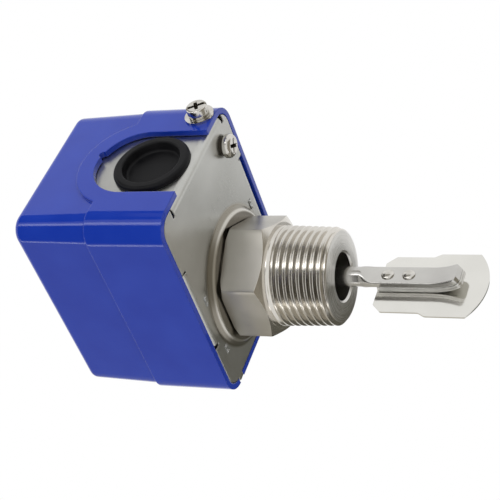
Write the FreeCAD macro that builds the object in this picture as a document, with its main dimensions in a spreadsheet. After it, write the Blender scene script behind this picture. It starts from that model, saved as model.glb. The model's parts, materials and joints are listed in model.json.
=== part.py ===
import FreeCAD, Part
import math
import os
import Sketcher

# Paddle flow switch for an R 1 pipe tapping. Millimetres and degrees.
# +Z runs up the pipe thread's axis into the housing, +X points to the cable entry, which is also the
# way the fluid flows, and the origin lies on the thread's axis at the hexagon's lower face.

SIZES = {
    # threaded fitting
    "thread_diameter": 33.25,
    "thread_length": 21.1,
    "thread_end_bevel": 0.9,
    "bore_diameter": 15.7,
    "hex_flats": 36.0,
    "hex_height": 14.5,
    "hex_bevel_margin": 1.2,
    "neck_diameter": 24.0,
    "neck_height": 7.5,
    "neck_clearance": 0.1,
    "neck_nut_flats": 32.0,
    "neck_nut_height": 4.0,
    # base plate
    "sheet": 1.5,
    "bend_inside": 1.0,
    "boss_diameter": 43.2,
    "boss_height": 2.0,
    "boss_round": 1.0,
    "plate_gap": 0.3,
    "relief_width": 1.5,
    "relief_depth": 3.5,
    "relief_round": 0.5,
    "entry_flange_low_margin": 9.2,
    "entry_flange_high_margin": 4.2,
    "entry_flange_height": 25.0,
    "entry_arch_radius": 17.5,
    "side_flange_rear": -4.8,
    "side_flange_front": 27.3,
    "side_flange_height": 9.5,
    "notch_width": 1.0,
    "notch_depth": 2.6,
    "tongue_margin": 6.7,
    "tongue_width": 3.0,
    "tongue_reach": 1.8,
    # moulded cover
    "cover_length": 78.0,
    "cover_width": 62.0,
    "cover_setback": 27.5,
    "cover_height": 54.5,
    "cover_wall": 2.0,
    "cover_corner": 7.7,
    "cover_top_round": 2.5,
    "cover_draft": 0.9,
    "skirt_height": 27.4,
    "skirt_step": 0.9,
    "ledge_thickness": 1.5,
    "draft_overlap": 0.5,
    "cutout_radius": 14.5,
    "cutout_centre": 19.5,
    "arch_radius": 20.3,
    "crown_notch_radius": 1.3,
    "crown_notch_side": 3.8,
    # cable entry grommet
    "entry_diameter": 22.0,
    "entry_centre": 14.5,
    "grommet_diameter": 25.6,
    "grommet_height": 2.0,
    "grommet_lip_diameter": 24.2,
    "grommet_lip": 1.4,
    "dish_diameter": 19.5,
    "dish_depth": 3.2,
    "membrane": 1.0,
    "grommet_play": 0.05,
    "grommet_rim_round": 1.2,
    "dish_draft": 0.6,
    "dish_round": 1.0,
    "lip_round": 0.6,
    "groove_back": 0.8,
    # fasteners
    "m_four": 4.0,
    "m_three": 3.0,
    "thread_play": 0.05,
    "hole_play": 0.25,
    "cover_screw_margin": 6.8,
    "cover_screw_height": 5.1,
    "cover_screw_length": 8.5,
    "cover_screw_head_diameter": 7.0,
    "cover_screw_head_height": 2.5,
    "flat_washer_diameter": 9.8,
    "flat_washer_thickness": 0.8,
    "spring_washer_diameter": 6.8,
    "spring_washer_thickness": 1.0,
    "spring_washer_gap": 0.6,
    "clinch_nut_diameter": 5.4,
    "clinch_nut_length": 3.0,
    "clinch_waist": 0.5,
    "earth_forward": 38.5,
    "earth_margin": 7.7,
    "earth_screw_length": 10.0,
    "earth_head_diameter": 8.0,
    "earth_head_height": 2.6,
    "earth_washer_diameter": 6.6,
    "earth_washer_thickness": 0.9,
    "earth_nut_flats": 7.0,
    "earth_nut_height": 3.2,
    # bellows seal
    "collar_diameter": 23.0,
    "collar_thickness": 2.0,
    "bellows_inner_diameter": 12.0,
    "bellows_outer_diameter": 18.4,
    "bellows_wall": 0.4,
    "bellows_pitch": 2.0,
    "bellows_folds": 5,
    "cap_diameter": 14.0,
    "cap_thickness": 2.5,
    # rod and paddle
    "rod_diameter": 6.5,
    "rod_play": 0.03,
    "rod_shoulder_rise": 1.0,
    "rod_top_diameter": 5.0,
    "rod_top_length": 4.9,
    "rod_round_end": 26.5,
    "flat_start": 31.5,
    "flat_end": 50.5,
    "flat_width": 7.5,
    "flat_thickness": 2.2,
    "curl_radius": 19.0,
    "curl_angle": 27.0,
    "strip_thickness": 1.0,
    "strip_start": 32.9,
    "vane_thickness": 0.5,
    "vane_start": 32.5,
    "vane_shoulder": 48.0,
    "vane_length": 35.5,
    "vane_root_width": 24.5,
    "vane_width": 27.4,
    "vane_root_bevel": 3.0,
    "vane_end_radius": 22.0,
    "rivet_diameter": 2.6,
    "rivet_head_diameter": 4.2,
    "rivet_head_height": 0.9,
    "rivet_first": 36.2,
    "rivet_pitch": 7.0,
    # lever and its bracket
    "pivot_height": 29.0,
    "pivot_diameter": 3.0,
    "pivot_play": 0.05,
    "pivot_head_height": 0.9,
    "pivot_head_rim": 1.0,
    "pivot_reach": 0.6,
    "cheek_to_flange": 3.45,
    "cheek_rear": 20.0,
    "cheek_front": 15.5,
    "tab_spacing": 22.0,
    "tab_width": 3.5,
    "tab_proud": 0.2,
    "tab_play": 0.05,
    "lever_play": 0.15,
    "lever_arm_width": 9.0,
    "lever_rear": 20.0,
    "lever_front": 19.0,
    "lever_tongue_width": 10.0,
    "lever_arm_flat": 0.2,
    "lever_setting_play": 0.9,
    "bridge_clearance": 4.0,
    "bridge_front": 40.0,
    "bridge_width": 25.0,
    "back_wall": 23.0,
    "back_wall_width": 30.0,
    "back_wall_foot": 24.0,
    "rod_nut_flats": 8.0,
    "rod_nut_height": 2.4,
    "rod_washer_diameter": 8.6,
    "rod_washer_thickness": 0.8,
    # flow setting
    "setting_offset": 16.0,
    "setting_screw_end": 22.0,
    "setting_head_diameter": 8.0,
    "setting_head_height": 2.4,
    "setting_slot_depth": 1.2,
    "setting_clip_width": 1.6,
    "setting_clip_grip": 0.02,
    "setting_clip_thickness": 0.6,
    "setting_clip_drop": 0.7,
    "setting_nut_foot": 25.0,
    "setting_nut_height": 3.0,
    "setting_nut_length": 8.0,
    "setting_nut_width": 9.0,
    "pointer_width": 2.6,
    "pointer_play": 0.2,
    "setting_travel": 3.5,
    "spring_diameter": 7.2,
    "spring_wire": 0.9,
    "spring_turns": 5,
    "spring_seat_gap": 0.15,
    # microswitch
    "insulator": 0.5,
    "switch_rear": 5.5,
    "switch_front": 31.0,
    "switch_width": 18.0,
    "switch_height": 13.0,
    "screw_inset": 3.5,
    "screw_side_inset": 2.8,
    "deck_front": 43.0,
    "deck_width": 25.2,
    "deck_height": 7.5,
    "barrier_height": 4.5,
    "barrier_thickness": 1.2,
    "terminal_pitch": 8.0,
    "terminal_plate_length": 9.0,
    "terminal_plate_width": 6.0,
    "terminal_plate_thickness": 0.8,
    "terminal_screw_length": 6.0,
    "small_head_diameter": 5.6,
    "small_head_height": 2.0,
    "plunger_forward": 14.0,
    "plunger_diameter": 4.0,
    "plunger_gap": 0.15,
    "plunger_depth": 5.5,
    "plunger_travel": 1.3,
    "plunger_room": 1.2,
    # corners and edges of stampings and mouldings
    "pressed_corner": 2.0,
    "stamped_corner": 1.5,
    "blank_corner": 1.0,
    "small_corner": 0.8,
    "fine_corner": 0.5,
    "soft_edge": 0.4,
    "bore_chamfer": 0.5,
    "case_chamfer": 0.6,
    # plays and drives of the small fasteners
    "washer_play": 0.1,
    "drive_width": 1.1,
    "slot_depth": 1.1,
    "cross_depth": 1.65,
    "small_drive_width": 0.9,
    "small_cross_depth": 1.2,
}

# Fixed by shape, not by size: tan 30 for turned bevels, and tan 22.5 for a sheet bent by 45 degrees
BEVEL_SLOPE = 0.577
BEND_LEAN = 0.414

DOCUMENT = FreeCAD.newDocument("FlowSwitch")
SHEET = DOCUMENT.addObject("Spreadsheet::Sheet", "Sizes")

UP = FreeCAD.Rotation()
DOWN = FreeCAD.Rotation(FreeCAD.Vector(1, 0, 0), 180)
TO_CABLE = FreeCAD.Rotation(FreeCAD.Vector(0, 1, 0), 90)
TO_SIDE = FreeCAD.Rotation(FreeCAD.Vector(1, 0, 0), 90)


class Length:
    """A number together with the spreadsheet expression that gives it."""

    def __init__(self, value, text):
        self.value = value
        self.text = text

    def joined(self, sign, other, value):
        return Length(value, f"({self.text} {sign} {other.text})")

    def __add__(self, other):
        other = as_length(other)
        return self.joined("+", other, self.value + other.value)

    def __sub__(self, other):
        other = as_length(other)
        return self.joined("-", other, self.value - other.value)

    def __mul__(self, other):
        other = as_length(other)
        return self.joined("*", other, self.value * other.value)

    def __truediv__(self, other):
        other = as_length(other)
        return self.joined("/", other, self.value / other.value)

    def __neg__(self):
        return as_length(0) - self

    def __radd__(self, other):
        return as_length(other) + self

    def __rsub__(self, other):
        return as_length(other) - self

    def __rmul__(self, other):
        return as_length(other) * self


def as_length(number):
    """Plain numbers join sheet sizes in one formula."""
    if isinstance(number, Length):
        return number
    return Length(float(number), f"({number})")


def sine(angle):
    return Length(math.sin(math.radians(angle.value)), f"sin({angle.text})")


def cosine(angle):
    return Length(math.cos(math.radians(angle.value)), f"cos({angle.text})")


def root(square):
    return Length(math.sqrt(square.value), f"sqrt({square.text})")


def lesser(one, other):
    return Length(min(one.value, other.value), f"min({one.text}; {other.text})")


def fill_sheet():
    """One row for each driving size: its name and its value."""
    for row, (name, value) in enumerate(SIZES.items(), start=1):
        SHEET.set(f"A{row}", name)
        SHEET.set(f"B{row}", str(value))
        SHEET.setAlias(f"B{row}", name)
    DOCUMENT.recompute()


def size(name):
    return Length(float(SIZES[name]), f"Sizes.{name}")


def half(name):
    return size(name) / 2


# Levels shared by several pieces, up the thread's axis
PLATE_FACE = size("hex_height") + size("boss_height")
PLATE_INSIDE = PLATE_FACE + size("sheet")
COVER_TOP = PLATE_FACE + size("cover_height")
SKIRT_TOP = PLATE_FACE + size("skirt_height")
NECK_TOP = size("hex_height") + size("neck_height")
BELLOWS_FOOT = NECK_TOP + size("collar_thickness")
BELLOWS_TOP = BELLOWS_FOOT + size("bellows_pitch") * size("bellows_folds")
CAP_TOP = BELLOWS_TOP + size("cap_thickness")
LEVER_FOOT = CAP_TOP + size("rod_shoulder_rise")
LEVER_TOP = LEVER_FOOT + size("sheet")
BRIDGE_FOOT = LEVER_TOP + size("bridge_clearance")
BRIDGE_TOP = BRIDGE_FOOT + size("sheet")
SWITCH_FOOT = BRIDGE_TOP + size("insulator")
SWITCH_TOP = SWITCH_FOOT + size("switch_height")
DECK_TOP = SWITCH_FOOT + size("deck_height")
TERMINAL_TOP = DECK_TOP + size("terminal_plate_thickness")
PLUNGER_TIP = LEVER_TOP + size("plunger_gap")
PLUNGER_TOP = SWITCH_FOOT + size("plunger_depth")
SETTING_NUT_TOP = size("setting_nut_foot") + size("setting_nut_height")

# Faces of the cover and the plate along X and Y
COVER_REAR = -size("cover_setback")
COVER_FRONT = size("cover_length") - size("cover_setback")
COVER_SIDE = half("cover_width")
PLATE_MARGIN = size("cover_wall") + size("plate_gap")
PLATE_REAR = COVER_REAR + PLATE_MARGIN
PLATE_FRONT = COVER_FRONT - PLATE_MARGIN
PLATE_SIDE = COVER_SIDE - PLATE_MARGIN
FLANGE_BACK = PLATE_FRONT - size("sheet")
ENTRY_FLANGE_LOW = size("entry_flange_low_margin") - PLATE_SIDE
ENTRY_FLANGE_HIGH = PLATE_SIDE - size("entry_flange_high_margin")
TONGUE_SIDE = PLATE_SIDE - size("tongue_margin")
COVER_SCREW_SIDE = PLATE_SIDE - size("cover_screw_margin")
EARTH_SIDE = PLATE_SIDE - size("earth_margin")
ENTRY_CENTRE = PLATE_FACE + size("entry_centre")
CUTOUT_CENTRE = PLATE_FACE + size("cutout_centre")
COVER_SCREW_LEVEL = PLATE_FACE + size("cover_screw_height")
CHEEK_OUTSIDE = PLATE_SIDE - size("sheet") - size("cheek_to_flange")
CHEEK_INSIDE = CHEEK_OUTSIDE - size("sheet")
LEVER_OUTSIDE = CHEEK_INSIDE - size("lever_play")
TERMINAL_FORWARD = (size("switch_front") + size("deck_front")) / 2
SWITCH_SCREWS = [
    (size("switch_rear") + size("screw_inset"), half("switch_width") - size("screw_side_inset")),
    (size("switch_front") - size("screw_inset"), size("screw_side_inset") - half("switch_width")),
]
STACK_BACK = half("flat_thickness") + size("strip_thickness") * 2


def new_body(label):
    body = DOCUMENT.addObject("PartDesign::Body", label)
    body.Label = label
    return body


def datum(body, role):
    """An origin plane or axis of the body."""
    return next(item for item in body.Origin.OriginFeatures if item.Role == role)


def place(body, across, side, up, rotation=UP):
    body.Placement = FreeCAD.Placement(FreeCAD.Vector(), rotation)
    for axis, value in zip("xyz", (across, side, up)):
        body.setExpression(f"Placement.Base.{axis}", as_length(value).text)


def new_sketch(body, role, level=0):
    """A sketch on an origin plane of the body, moved along the plane's normal to the level."""
    sketch = body.newObject("Sketcher::SketchObject", "Outline")
    sketch.AttachmentSupport = [(datum(body, role), "")]
    sketch.MapMode = "FlatFace"
    sketch.setExpression("AttachmentOffset.Base.z", as_length(level).text)
    return sketch


def bind(sketch, kind, *reference, value):
    """Adds one dimension to the sketch and ties it to the sheet."""
    value = as_length(value)
    index = sketch.addConstraint(Sketcher.Constraint(kind, *reference, value.value))
    sketch.setExpression(f"Constraints[{index}]", value.text)


def pin_point(sketch, geometry, position, across, up):
    bind(sketch, "DistanceX", -1, 1, geometry, position, value=across)
    bind(sketch, "DistanceY", -1, 1, geometry, position, value=up)


def circle(sketch, radius, across=0, up=0):
    centre = FreeCAD.Vector(as_length(across).value, as_length(up).value, 0)
    start = as_length(radius).value
    index = sketch.addGeometry(Part.Circle(centre, FreeCAD.Vector(0, 0, 1), start))
    bind(sketch, "Radius", index, value=radius)
    pin_point(sketch, index, 3, across, up)


def outline(sketch, corners):
    """Closed outline through corners (x, y) or (x, y, radius), in order round the shape."""
    points = [FreeCAD.Vector(as_length(c[0]).value, as_length(c[1]).value, 0) for c in corners]
    rounds = [as_length(c[2]) if len(c) == 3 else None for c in corners]
    count = len(points)
    ends = [corner_ends(points[i - 1], points[i], points[(i + 1) % count], rounds[i]) for i in range(count)]
    lines = [
        sketch.addGeometry(Part.LineSegment(ends[i][1], ends[(i + 1) % count][0])) for i in range(count)
    ]
    for i, corner in enumerate(corners):
        if rounds[i] is None:
            sketch.addConstraint(Sketcher.Constraint("Coincident", lines[i - 1], 2, lines[i], 1))
            pin_point(sketch, lines[i], 1, corner[0], corner[1])
        else:
            round_corner(sketch, lines[i - 1], lines[i], points[i], ends[i], corner)


def corner_ends(before, point, after, radius):
    """Where a rounded corner's arc leaves its two sides."""
    if radius is None:
        return point, point
    one, two = (before - point).normalize(), (after - point).normalize()
    reach = radius.value / math.tan(one.getAngle(two) / 2)
    return point + one * reach, point + two * reach


def angle_between(one, two):
    """Whether the short way from one to two runs counterclockwise, and how wide it is."""
    sweep = (math.atan2(two.y, two.x) - math.atan2(one.y, one.x)) % (2 * math.pi)
    return (True, sweep) if sweep < math.pi else (False, 2 * math.pi - sweep)


def add_arc(sketch, centre, radius, start, sweep):
    """A counterclockwise arc from the start point."""
    first = math.atan2(start.y - centre.y, start.x - centre.x)
    round_edge = Part.Circle(centre, FreeCAD.Vector(0, 0, 1), radius)
    return sketch.addGeometry(Part.ArcOfCircle(round_edge, first, first + sweep))


def round_corner(sketch, before, after, point, ends, corner):
    """An arc tangent to two lines whose sides would meet at the corner's point."""
    one, two = (ends[0] - point), (ends[1] - point)
    radius = as_length(corner[2])
    bisector = (one + two).normalize()
    centre = point + bisector * (radius.value / math.sin(one.getAngle(two) / 2))
    forward, sweep = angle_between(ends[0] - centre, ends[1] - centre)
    first, second = (1, 2) if forward else (2, 1)
    arc = add_arc(sketch, centre, radius.value, ends[0] if forward else ends[1], sweep)
    apex = sketch.addGeometry(Part.Point(point), True)
    sketch.addConstraint(Sketcher.Constraint("Tangent", before, 2, arc, first))
    sketch.addConstraint(Sketcher.Constraint("Tangent", after, 1, arc, second))
    sketch.addConstraint(Sketcher.Constraint("PointOnObject", apex, 1, before))
    sketch.addConstraint(Sketcher.Constraint("PointOnObject", apex, 1, after))
    bind(sketch, "Radius", arc, value=radius)
    pin_point(sketch, apex, 1, corner[0], corner[1])


def box_corners(left, right, low, high, radius=None):
    corners = [(left, low), (right, low), (right, high), (left, high)]
    return [corner + (radius,) if radius is not None else corner for corner in corners]


def hexagon_corners(flats):
    """A hexagon with two of its corners on the sketch's horizontal axis."""
    reach = flats / root(as_length(3))
    side = flats / 2
    one_half = [(reach, 0), (reach / 2, side), (-reach / 2, side)]
    return one_half + [(-across, -up) for across, up in one_half]


def arch(sketch, radius, centre, foot):
    """Two upright sides that end in a half circle, open to no side: the foot closes it."""
    radius, centre, foot = as_length(radius), as_length(centre), as_length(foot)
    left, right = FreeCAD.Vector(-radius.value, centre.value), FreeCAD.Vector(radius.value, centre.value)
    low_left, low_right = FreeCAD.Vector(left.x, foot.value), FreeCAD.Vector(right.x, foot.value)
    bottom = sketch.addGeometry(Part.LineSegment(low_left, low_right))
    up = sketch.addGeometry(Part.LineSegment(low_right, right))
    over = add_arc(sketch, FreeCAD.Vector(0, centre.value, 0), radius.value, right, math.pi)
    down = sketch.addGeometry(Part.LineSegment(left, low_left))
    for one, two in ((bottom, up), (up, over), (over, down), (down, bottom)):
        sketch.addConstraint(Sketcher.Constraint("Coincident", one, 2, two, 1))
    pin_point(sketch, bottom, 1, -radius, foot)
    pin_point(sketch, bottom, 2, radius, foot)
    pin_point(sketch, over, 3, 0, centre)
    pin_point(sketch, over, 1, radius, centre)
    bind(sketch, "DistanceY", -1, 1, over, 2, value=centre)


def pad(body, sketch, length, both_ways=False):
    feature = body.newObject("PartDesign::Pad", "Pad")
    feature.Profile = sketch
    feature.SideType = "Symmetric" if both_ways else "One side"
    feature.setExpression("Length", as_length(length).text)
    return feature


def pocket(body, sketch, length=None, both_ways=False):
    """Cuts along the sketch's normal, or right through both ways where no length is given."""
    before = solid_volume(body)
    feature = body.newObject("PartDesign::Pocket", "Pocket")
    feature.Profile = sketch
    if length is None:
        feature.SideType = "Symmetric" if both_ways else "One side"
        feature.Type = "ThroughAll"
        feature.Reversed = not both_ways
    else:
        feature.Reversed = True
        feature.setExpression("Length", as_length(length).text)
    return cut_checked(body, feature, before)


def solid_volume(body):
    DOCUMENT.recompute()
    return body.Shape.Volume


def cut_checked(body, feature, before):
    if solid_volume(body) > before - 1e-4:
        raise ValueError(f"{body.Label}: {feature.Name} cuts nothing")
    return feature


def turn(body, sketch, role="Z_Axis"):
    feature = body.newObject("PartDesign::Revolution", "Revolution")
    feature.Profile = sketch
    feature.ReferenceAxis = (datum(body, role), [""])
    feature.Angle = 360
    return feature


def turn_about_level(body, sketch, level, start, end):
    """Turns the sketch about a level line of its own, from the start to the end across."""
    points = [FreeCAD.Vector(across.value, level.value, 0) for across in (start, end)]
    axis = sketch.addGeometry(Part.LineSegment(*points), True)
    pin_point(sketch, axis, 1, start, level)
    pin_point(sketch, axis, 2, end, level)
    feature = turn(body, sketch)
    feature.ReferenceAxis = (sketch, ["Axis0"])
    return feature


def turned_cut(body, sketch, role="Z_Axis"):
    before = solid_volume(body)
    feature = body.newObject("PartDesign::Groove", "Groove")
    feature.Profile = sketch
    feature.ReferenceAxis = (datum(body, role), [""])
    feature.Angle = 360
    return cut_checked(body, feature, before)


def loft(body, first, second):
    feature = body.newObject("PartDesign::AdditiveLoft", "Loft")
    feature.Profile = first
    feature.Sections = [second]
    return feature


def loft_cut(body, first, second):
    before = solid_volume(body)
    feature = body.newObject("PartDesign::SubtractiveLoft", "LoftCut")
    feature.Profile = first
    feature.Sections = [second]
    return cut_checked(body, feature, before)


def mirrored(body, features, role="XZ_Plane"):
    """The features again on the other side of an origin plane."""
    feature = body.newObject("PartDesign::Mirrored", "Mirror")
    feature.Originals = features
    feature.MirrorPlane = (datum(body, role), [""])
    body.Tip = feature
    return feature


def row_of(body, features, role, pitch, count):
    """The features again along an origin axis, evenly spaced."""
    feature = body.newObject("PartDesign::LinearPattern", "Row")
    feature.Originals = features
    feature.Direction = (datum(body, role), [""])
    feature.Mode = "Spacing"
    feature.setExpression("Offset", as_length(pitch).text)
    feature.setExpression("Occurrences", as_length(count).text)
    body.Tip = feature
    return feature


def dressed(body, kind, measure, amount, chosen):
    """Fillets or chamfers every edge of the body's present shape that the test chooses."""
    DOCUMENT.recompute()
    base = body.Tip
    names = [f"Edge{i}" for i, edge in enumerate(base.Shape.Edges, start=1) if chosen(edge)]
    if not names:
        raise ValueError(f"{body.Label}: no edge for {kind}")
    feature = body.newObject(f"PartDesign::{kind}", kind)
    feature.Base = (base, names)
    feature.setExpression(measure, as_length(amount).text)
    return feature


def fillet(body, radius, chosen):
    return dressed(body, "Fillet", "Radius", radius, chosen)


def chamfer(body, amount, chosen):
    return dressed(body, "Chamfer", "Size", amount, chosen)


def is_circle(edge, radius):
    return edge.Curve.TypeId == "Part::GeomCircle" and near(edge.Curve.Radius, radius)


def near(value, target):
    return abs(value - as_length(target).value) < 1e-3


def lies_at(x=None, y=None, z=None):
    """Test for an edge whose ends and middle all lie at the coordinates given."""
    wanted = [(axis, target) for axis, target in zip("xyz", (x, y, z)) if target is not None]

    def test(edge):
        points = [vertex.Point for vertex in edge.Vertexes] + [edge.CenterOfMass]
        return all(near(getattr(point, axis), target) for point in points for axis, target in wanted)

    return test


# Fasteners and turned parts, each made upright at its own origin


def washer(label, outer, inner, thickness):
    body = new_body(label)
    sketch = new_sketch(body, "XY_Plane")
    circle(sketch, outer)
    circle(sketch, inner)
    pad(body, sketch, thickness)
    return body


def bevel_hexagon(body, flats, level, downward):
    """Turned bevel on one end of a hexagon, which leaves a round edge on each of its corners."""
    reach = flats / root(as_length(3)) + 1
    side = flats / 2 - flats * 0.01
    drop = (reach - side) * BEVEL_SLOPE
    sketch = new_sketch(body, "XZ_Plane")
    outline(sketch, [(side, level), (reach, level), (reach, level - drop if downward else level + drop)])
    turned_cut(body, sketch)


def hexagon_nut(label, flats, height, bore):
    body = new_body(label)
    sketch = new_sketch(body, "XY_Plane")
    outline(sketch, hexagon_corners(flats))
    circle(sketch, bore)
    pad(body, sketch, height)
    bevel_hexagon(body, flats, height, True)
    bevel_hexagon(body, flats, as_length(0), False)
    return body


def headed_screw(label, shank, length, head, head_height, crown=0.6):
    """A round-headed screw whose head sits on level 0 and whose shank points down."""
    body = new_body(label)
    tip = shank * 0.2
    sketch = new_sketch(body, "XZ_Plane")
    corners = [(0, -length), (shank - tip, -length), (shank, tip - length), (shank, 0), (head, 0)]
    corners += [(head, head_height, head_height * crown), (0, head_height)]
    outline(sketch, corners)
    turn(body, sketch)
    return body


def drive_slot(body, head, head_height, width, depth):
    sketch = new_sketch(body, "XY_Plane", head_height - depth)
    outline(sketch, box_corners(-head - 1, head + 1, -width / 2, width / 2))
    pocket(body, sketch, depth + 1)


def drive_cross(body, head, head_height, width, depth):
    reach = head * 0.55
    arm = width / 2
    sketch = new_sketch(body, "XY_Plane", head_height - depth)
    quarter = [(reach, -arm), (reach, arm), (arm, arm), (arm, reach)]
    outline(
        sketch,
        quarter
        + [(-arm, reach), (-arm, arm), (-reach, arm), (-reach, -arm), (-arm, -arm), (-arm, -reach)]
        + [(arm, -reach), (arm, -arm)],
    )
    pocket(body, sketch, depth + 1)


# Housing


def make_fitting():
    """Pipe thread at its crest size, spanner hexagon and neck, with the rod's bore through them."""
    body = new_body("fitting")
    crest = half("thread_diameter")
    bevel = size("thread_end_bevel")
    sketch = new_sketch(body, "XZ_Plane")
    outline(
        sketch,
        [
            (half("bore_diameter"), -size("thread_length")),
            (crest - bevel, -size("thread_length")),
            (crest, bevel - size("thread_length")),
            (crest, size("hex_height") / 2),
            (half("neck_diameter"), size("hex_height") / 2),
            (half("neck_diameter"), NECK_TOP),
            (half("bore_diameter"), NECK_TOP),
        ],
    )
    turn(body, sketch)
    sketch = new_sketch(body, "XY_Plane")
    outline(sketch, hexagon_corners(size("hex_flats")))
    circle(sketch, half("bore_diameter"))
    pad(body, sketch, size("hex_height"))
    bevel_hexagon(body, size("hex_flats"), as_length(0), False)
    sketch = new_sketch(body, "XZ_Plane")
    reach = size("hex_flats") / root(as_length(3)) + 1
    edge = half("hex_flats") + size("hex_bevel_margin")
    top = size("hex_height")
    outline(sketch, [(edge, top), (reach, top), (reach, top - (reach - edge) * BEVEL_SLOPE)])
    turned_cut(body, sketch)
    foot = lies_at(z=-size("thread_length"))
    chamfer(body, size("bore_chamfer"), lambda e: foot(e) and is_circle(e, half("bore_diameter")))


def make_base_plate():
    """Pressed sheet: a round boss for the hexagon, the cable entry's flange and two side flanges."""
    body = new_body("base_plate")
    sheet = size("sheet")
    corner = size("cover_corner") - PLATE_MARGIN
    sketch = new_sketch(body, "XY_Plane", PLATE_FACE)
    outline(sketch, box_corners(PLATE_REAR, PLATE_FRONT, -PLATE_SIDE, PLATE_SIDE, corner))
    pad(body, sketch, sheet)

    sketch = new_sketch(body, "YZ_Plane", FLANGE_BACK)
    low, high = ENTRY_FLANGE_LOW, ENTRY_FLANGE_HIGH
    top = PLATE_FACE + size("entry_flange_height")
    curve = size("pressed_corner")
    outline(sketch, [(low, PLATE_FACE), (high, PLATE_FACE), (high, top, curve), (low, top, curve)])
    pad(body, sketch, sheet)
    sketch = new_sketch(body, "YZ_Plane", FLANGE_BACK)
    circle(sketch, size("entry_arch_radius"), 0, CUTOUT_CENTRE)
    pad(body, sketch, sheet)

    rear, front = size("side_flange_rear"), size("side_flange_front")
    sketch = new_sketch(body, "XZ_Plane", PLATE_SIDE - sheet)
    top = PLATE_FACE + size("side_flange_height")
    outline(sketch, [(rear, PLATE_FACE), (front, PLATE_FACE), (front, top, curve), (rear, top, curve)])
    side = pad(body, sketch, sheet)
    mirrored(body, [side])

    inner, outer = TONGUE_SIDE - half("tongue_width"), TONGUE_SIDE + half("tongue_width")
    tip = PLATE_REAR - size("tongue_reach")
    sketch = new_sketch(body, "XY_Plane", PLATE_FACE)
    base, curve = 1 + PLATE_REAR, size("small_corner")
    outline(sketch, [(tip, inner, curve), (base, inner), (base, outer), (tip, outer, curve)])
    tongue = pad(body, sketch, sheet)
    mirrored(body, [tongue])

    cut_relief_slots(body)
    cut_flange_notches(body)
    press_boss(body)
    drill_base_plate(body)
    round_the_bends(body, size("bend_inside") + sheet)


def round_the_bends(body, bend):
    """Outside radius of the entry flange's bend, and of the side flanges' bends beside the boss."""
    entry_width = ENTRY_FLANGE_HIGH - ENTRY_FLANGE_LOW
    side_width = size("side_flange_front") - size("side_flange_rear")
    beside_boss = PLATE_SIDE - half("boss_diameter") - size("boss_height") - size("boss_round")
    fillet(body, bend, lambda e: lies_at(x=PLATE_FRONT, z=PLATE_FACE)(e) and near(e.Length, entry_width))
    for side in (PLATE_SIDE, -PLATE_SIDE):
        fillet(body, lesser(bend, beside_boss), lambda e, y=side: lies_at(y=y, z=PLATE_FACE)(e) and near(e.Length, side_width))


def cut_relief_slots(body):
    """Slots at the two ends of the cable entry's flange, so that the bend doesn't tear."""
    width, curve = size("relief_width"), size("relief_round")
    sketch = new_sketch(body, "XY_Plane", PLATE_FACE - 1)
    rear, front = PLATE_FRONT - size("relief_depth"), PLATE_FRONT + 1
    for start in (ENTRY_FLANGE_LOW - width, ENTRY_FLANGE_HIGH):
        end = start + width
        outline(sketch, [(rear, start, curve), (front, start), (front, end), (rear, end, curve)])
    pocket(body, sketch, size("sheet") + 2)


def cut_flange_notches(body):
    """Bend reliefs at the ends of the side flanges."""
    width = size("notch_width")
    inner, outer = -PLATE_SIDE + size("notch_depth"), -PLATE_SIDE - 1
    cuts = []
    for start in (size("side_flange_rear") - width, size("side_flange_front")):
        sketch = new_sketch(body, "XY_Plane", PLATE_FACE - 1)
        outline(sketch, [(start, outer), (start + width, outer), (start + width, inner), (start, inner)])
        cuts.append(pocket(body, sketch, size("side_flange_height") + 2))
    mirrored(body, cuts)


def press_boss(body):
    """The plate steps out to a flat round seat for the hexagon, with the sheet's thickness kept."""
    sheet, rise = size("sheet"), size("boss_height")
    lean = BEND_LEAN * sheet
    crown = half("boss_diameter")
    foot = crown + rise
    rim = foot + 1
    sketch = new_sketch(body, "XY_Plane", PLATE_FACE - 1)
    circle(sketch, rim)
    pocket(body, sketch, sheet + 2)
    hole = half("neck_diameter") + size("neck_clearance")
    seat = PLATE_FACE - rise
    curve = size("boss_round")
    sketch = new_sketch(body, "XZ_Plane")
    outline(
        sketch,
        [
            (hole, seat),
            (crown, seat, curve),
            (foot, PLATE_FACE, curve),
            (rim, PLATE_FACE),
            (rim, PLATE_FACE + sheet),
            (foot - lean, PLATE_FACE + sheet, curve),
            (crown - lean, seat + sheet, curve),
            (hole, seat + sheet),
        ],
    )
    turn(body, sketch)


def drill_base_plate(body):
    """Holes for the earth screw, the bracket's tabs, the cable entry and the cover screw's nut."""
    sketch = new_sketch(body, "XY_Plane", PLATE_FACE - 1)
    circle(sketch, half("m_four") + size("hole_play"), size("earth_forward"), EARTH_SIDE)
    reach, play = half("tab_spacing"), size("tab_play")
    for x in (-reach, reach):
        for low, high in ((CHEEK_INSIDE, CHEEK_OUTSIDE), (-CHEEK_OUTSIDE, -CHEEK_INSIDE)):
            wide = half("tab_width") + play
            outline(sketch, box_corners(x - wide, x + wide, low - play, high + play))
    pocket(body, sketch, size("sheet") + 2)
    sketch = new_sketch(body, "YZ_Plane", FLANGE_BACK - 1)
    circle(sketch, half("entry_diameter"), 0, ENTRY_CENTRE)
    circle(sketch, half("clinch_nut_diameter") - size("clinch_waist"), COVER_SCREW_SIDE, COVER_SCREW_LEVEL)
    pocket(body, sketch, size("sheet") + 2)


def cover_corners(inset, radius):
    """The cover's plan outline, drawn in by the inset."""
    side = COVER_SIDE - inset
    return box_corners(COVER_REAR + inset, COVER_FRONT - inset, -side, side, radius)


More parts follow.
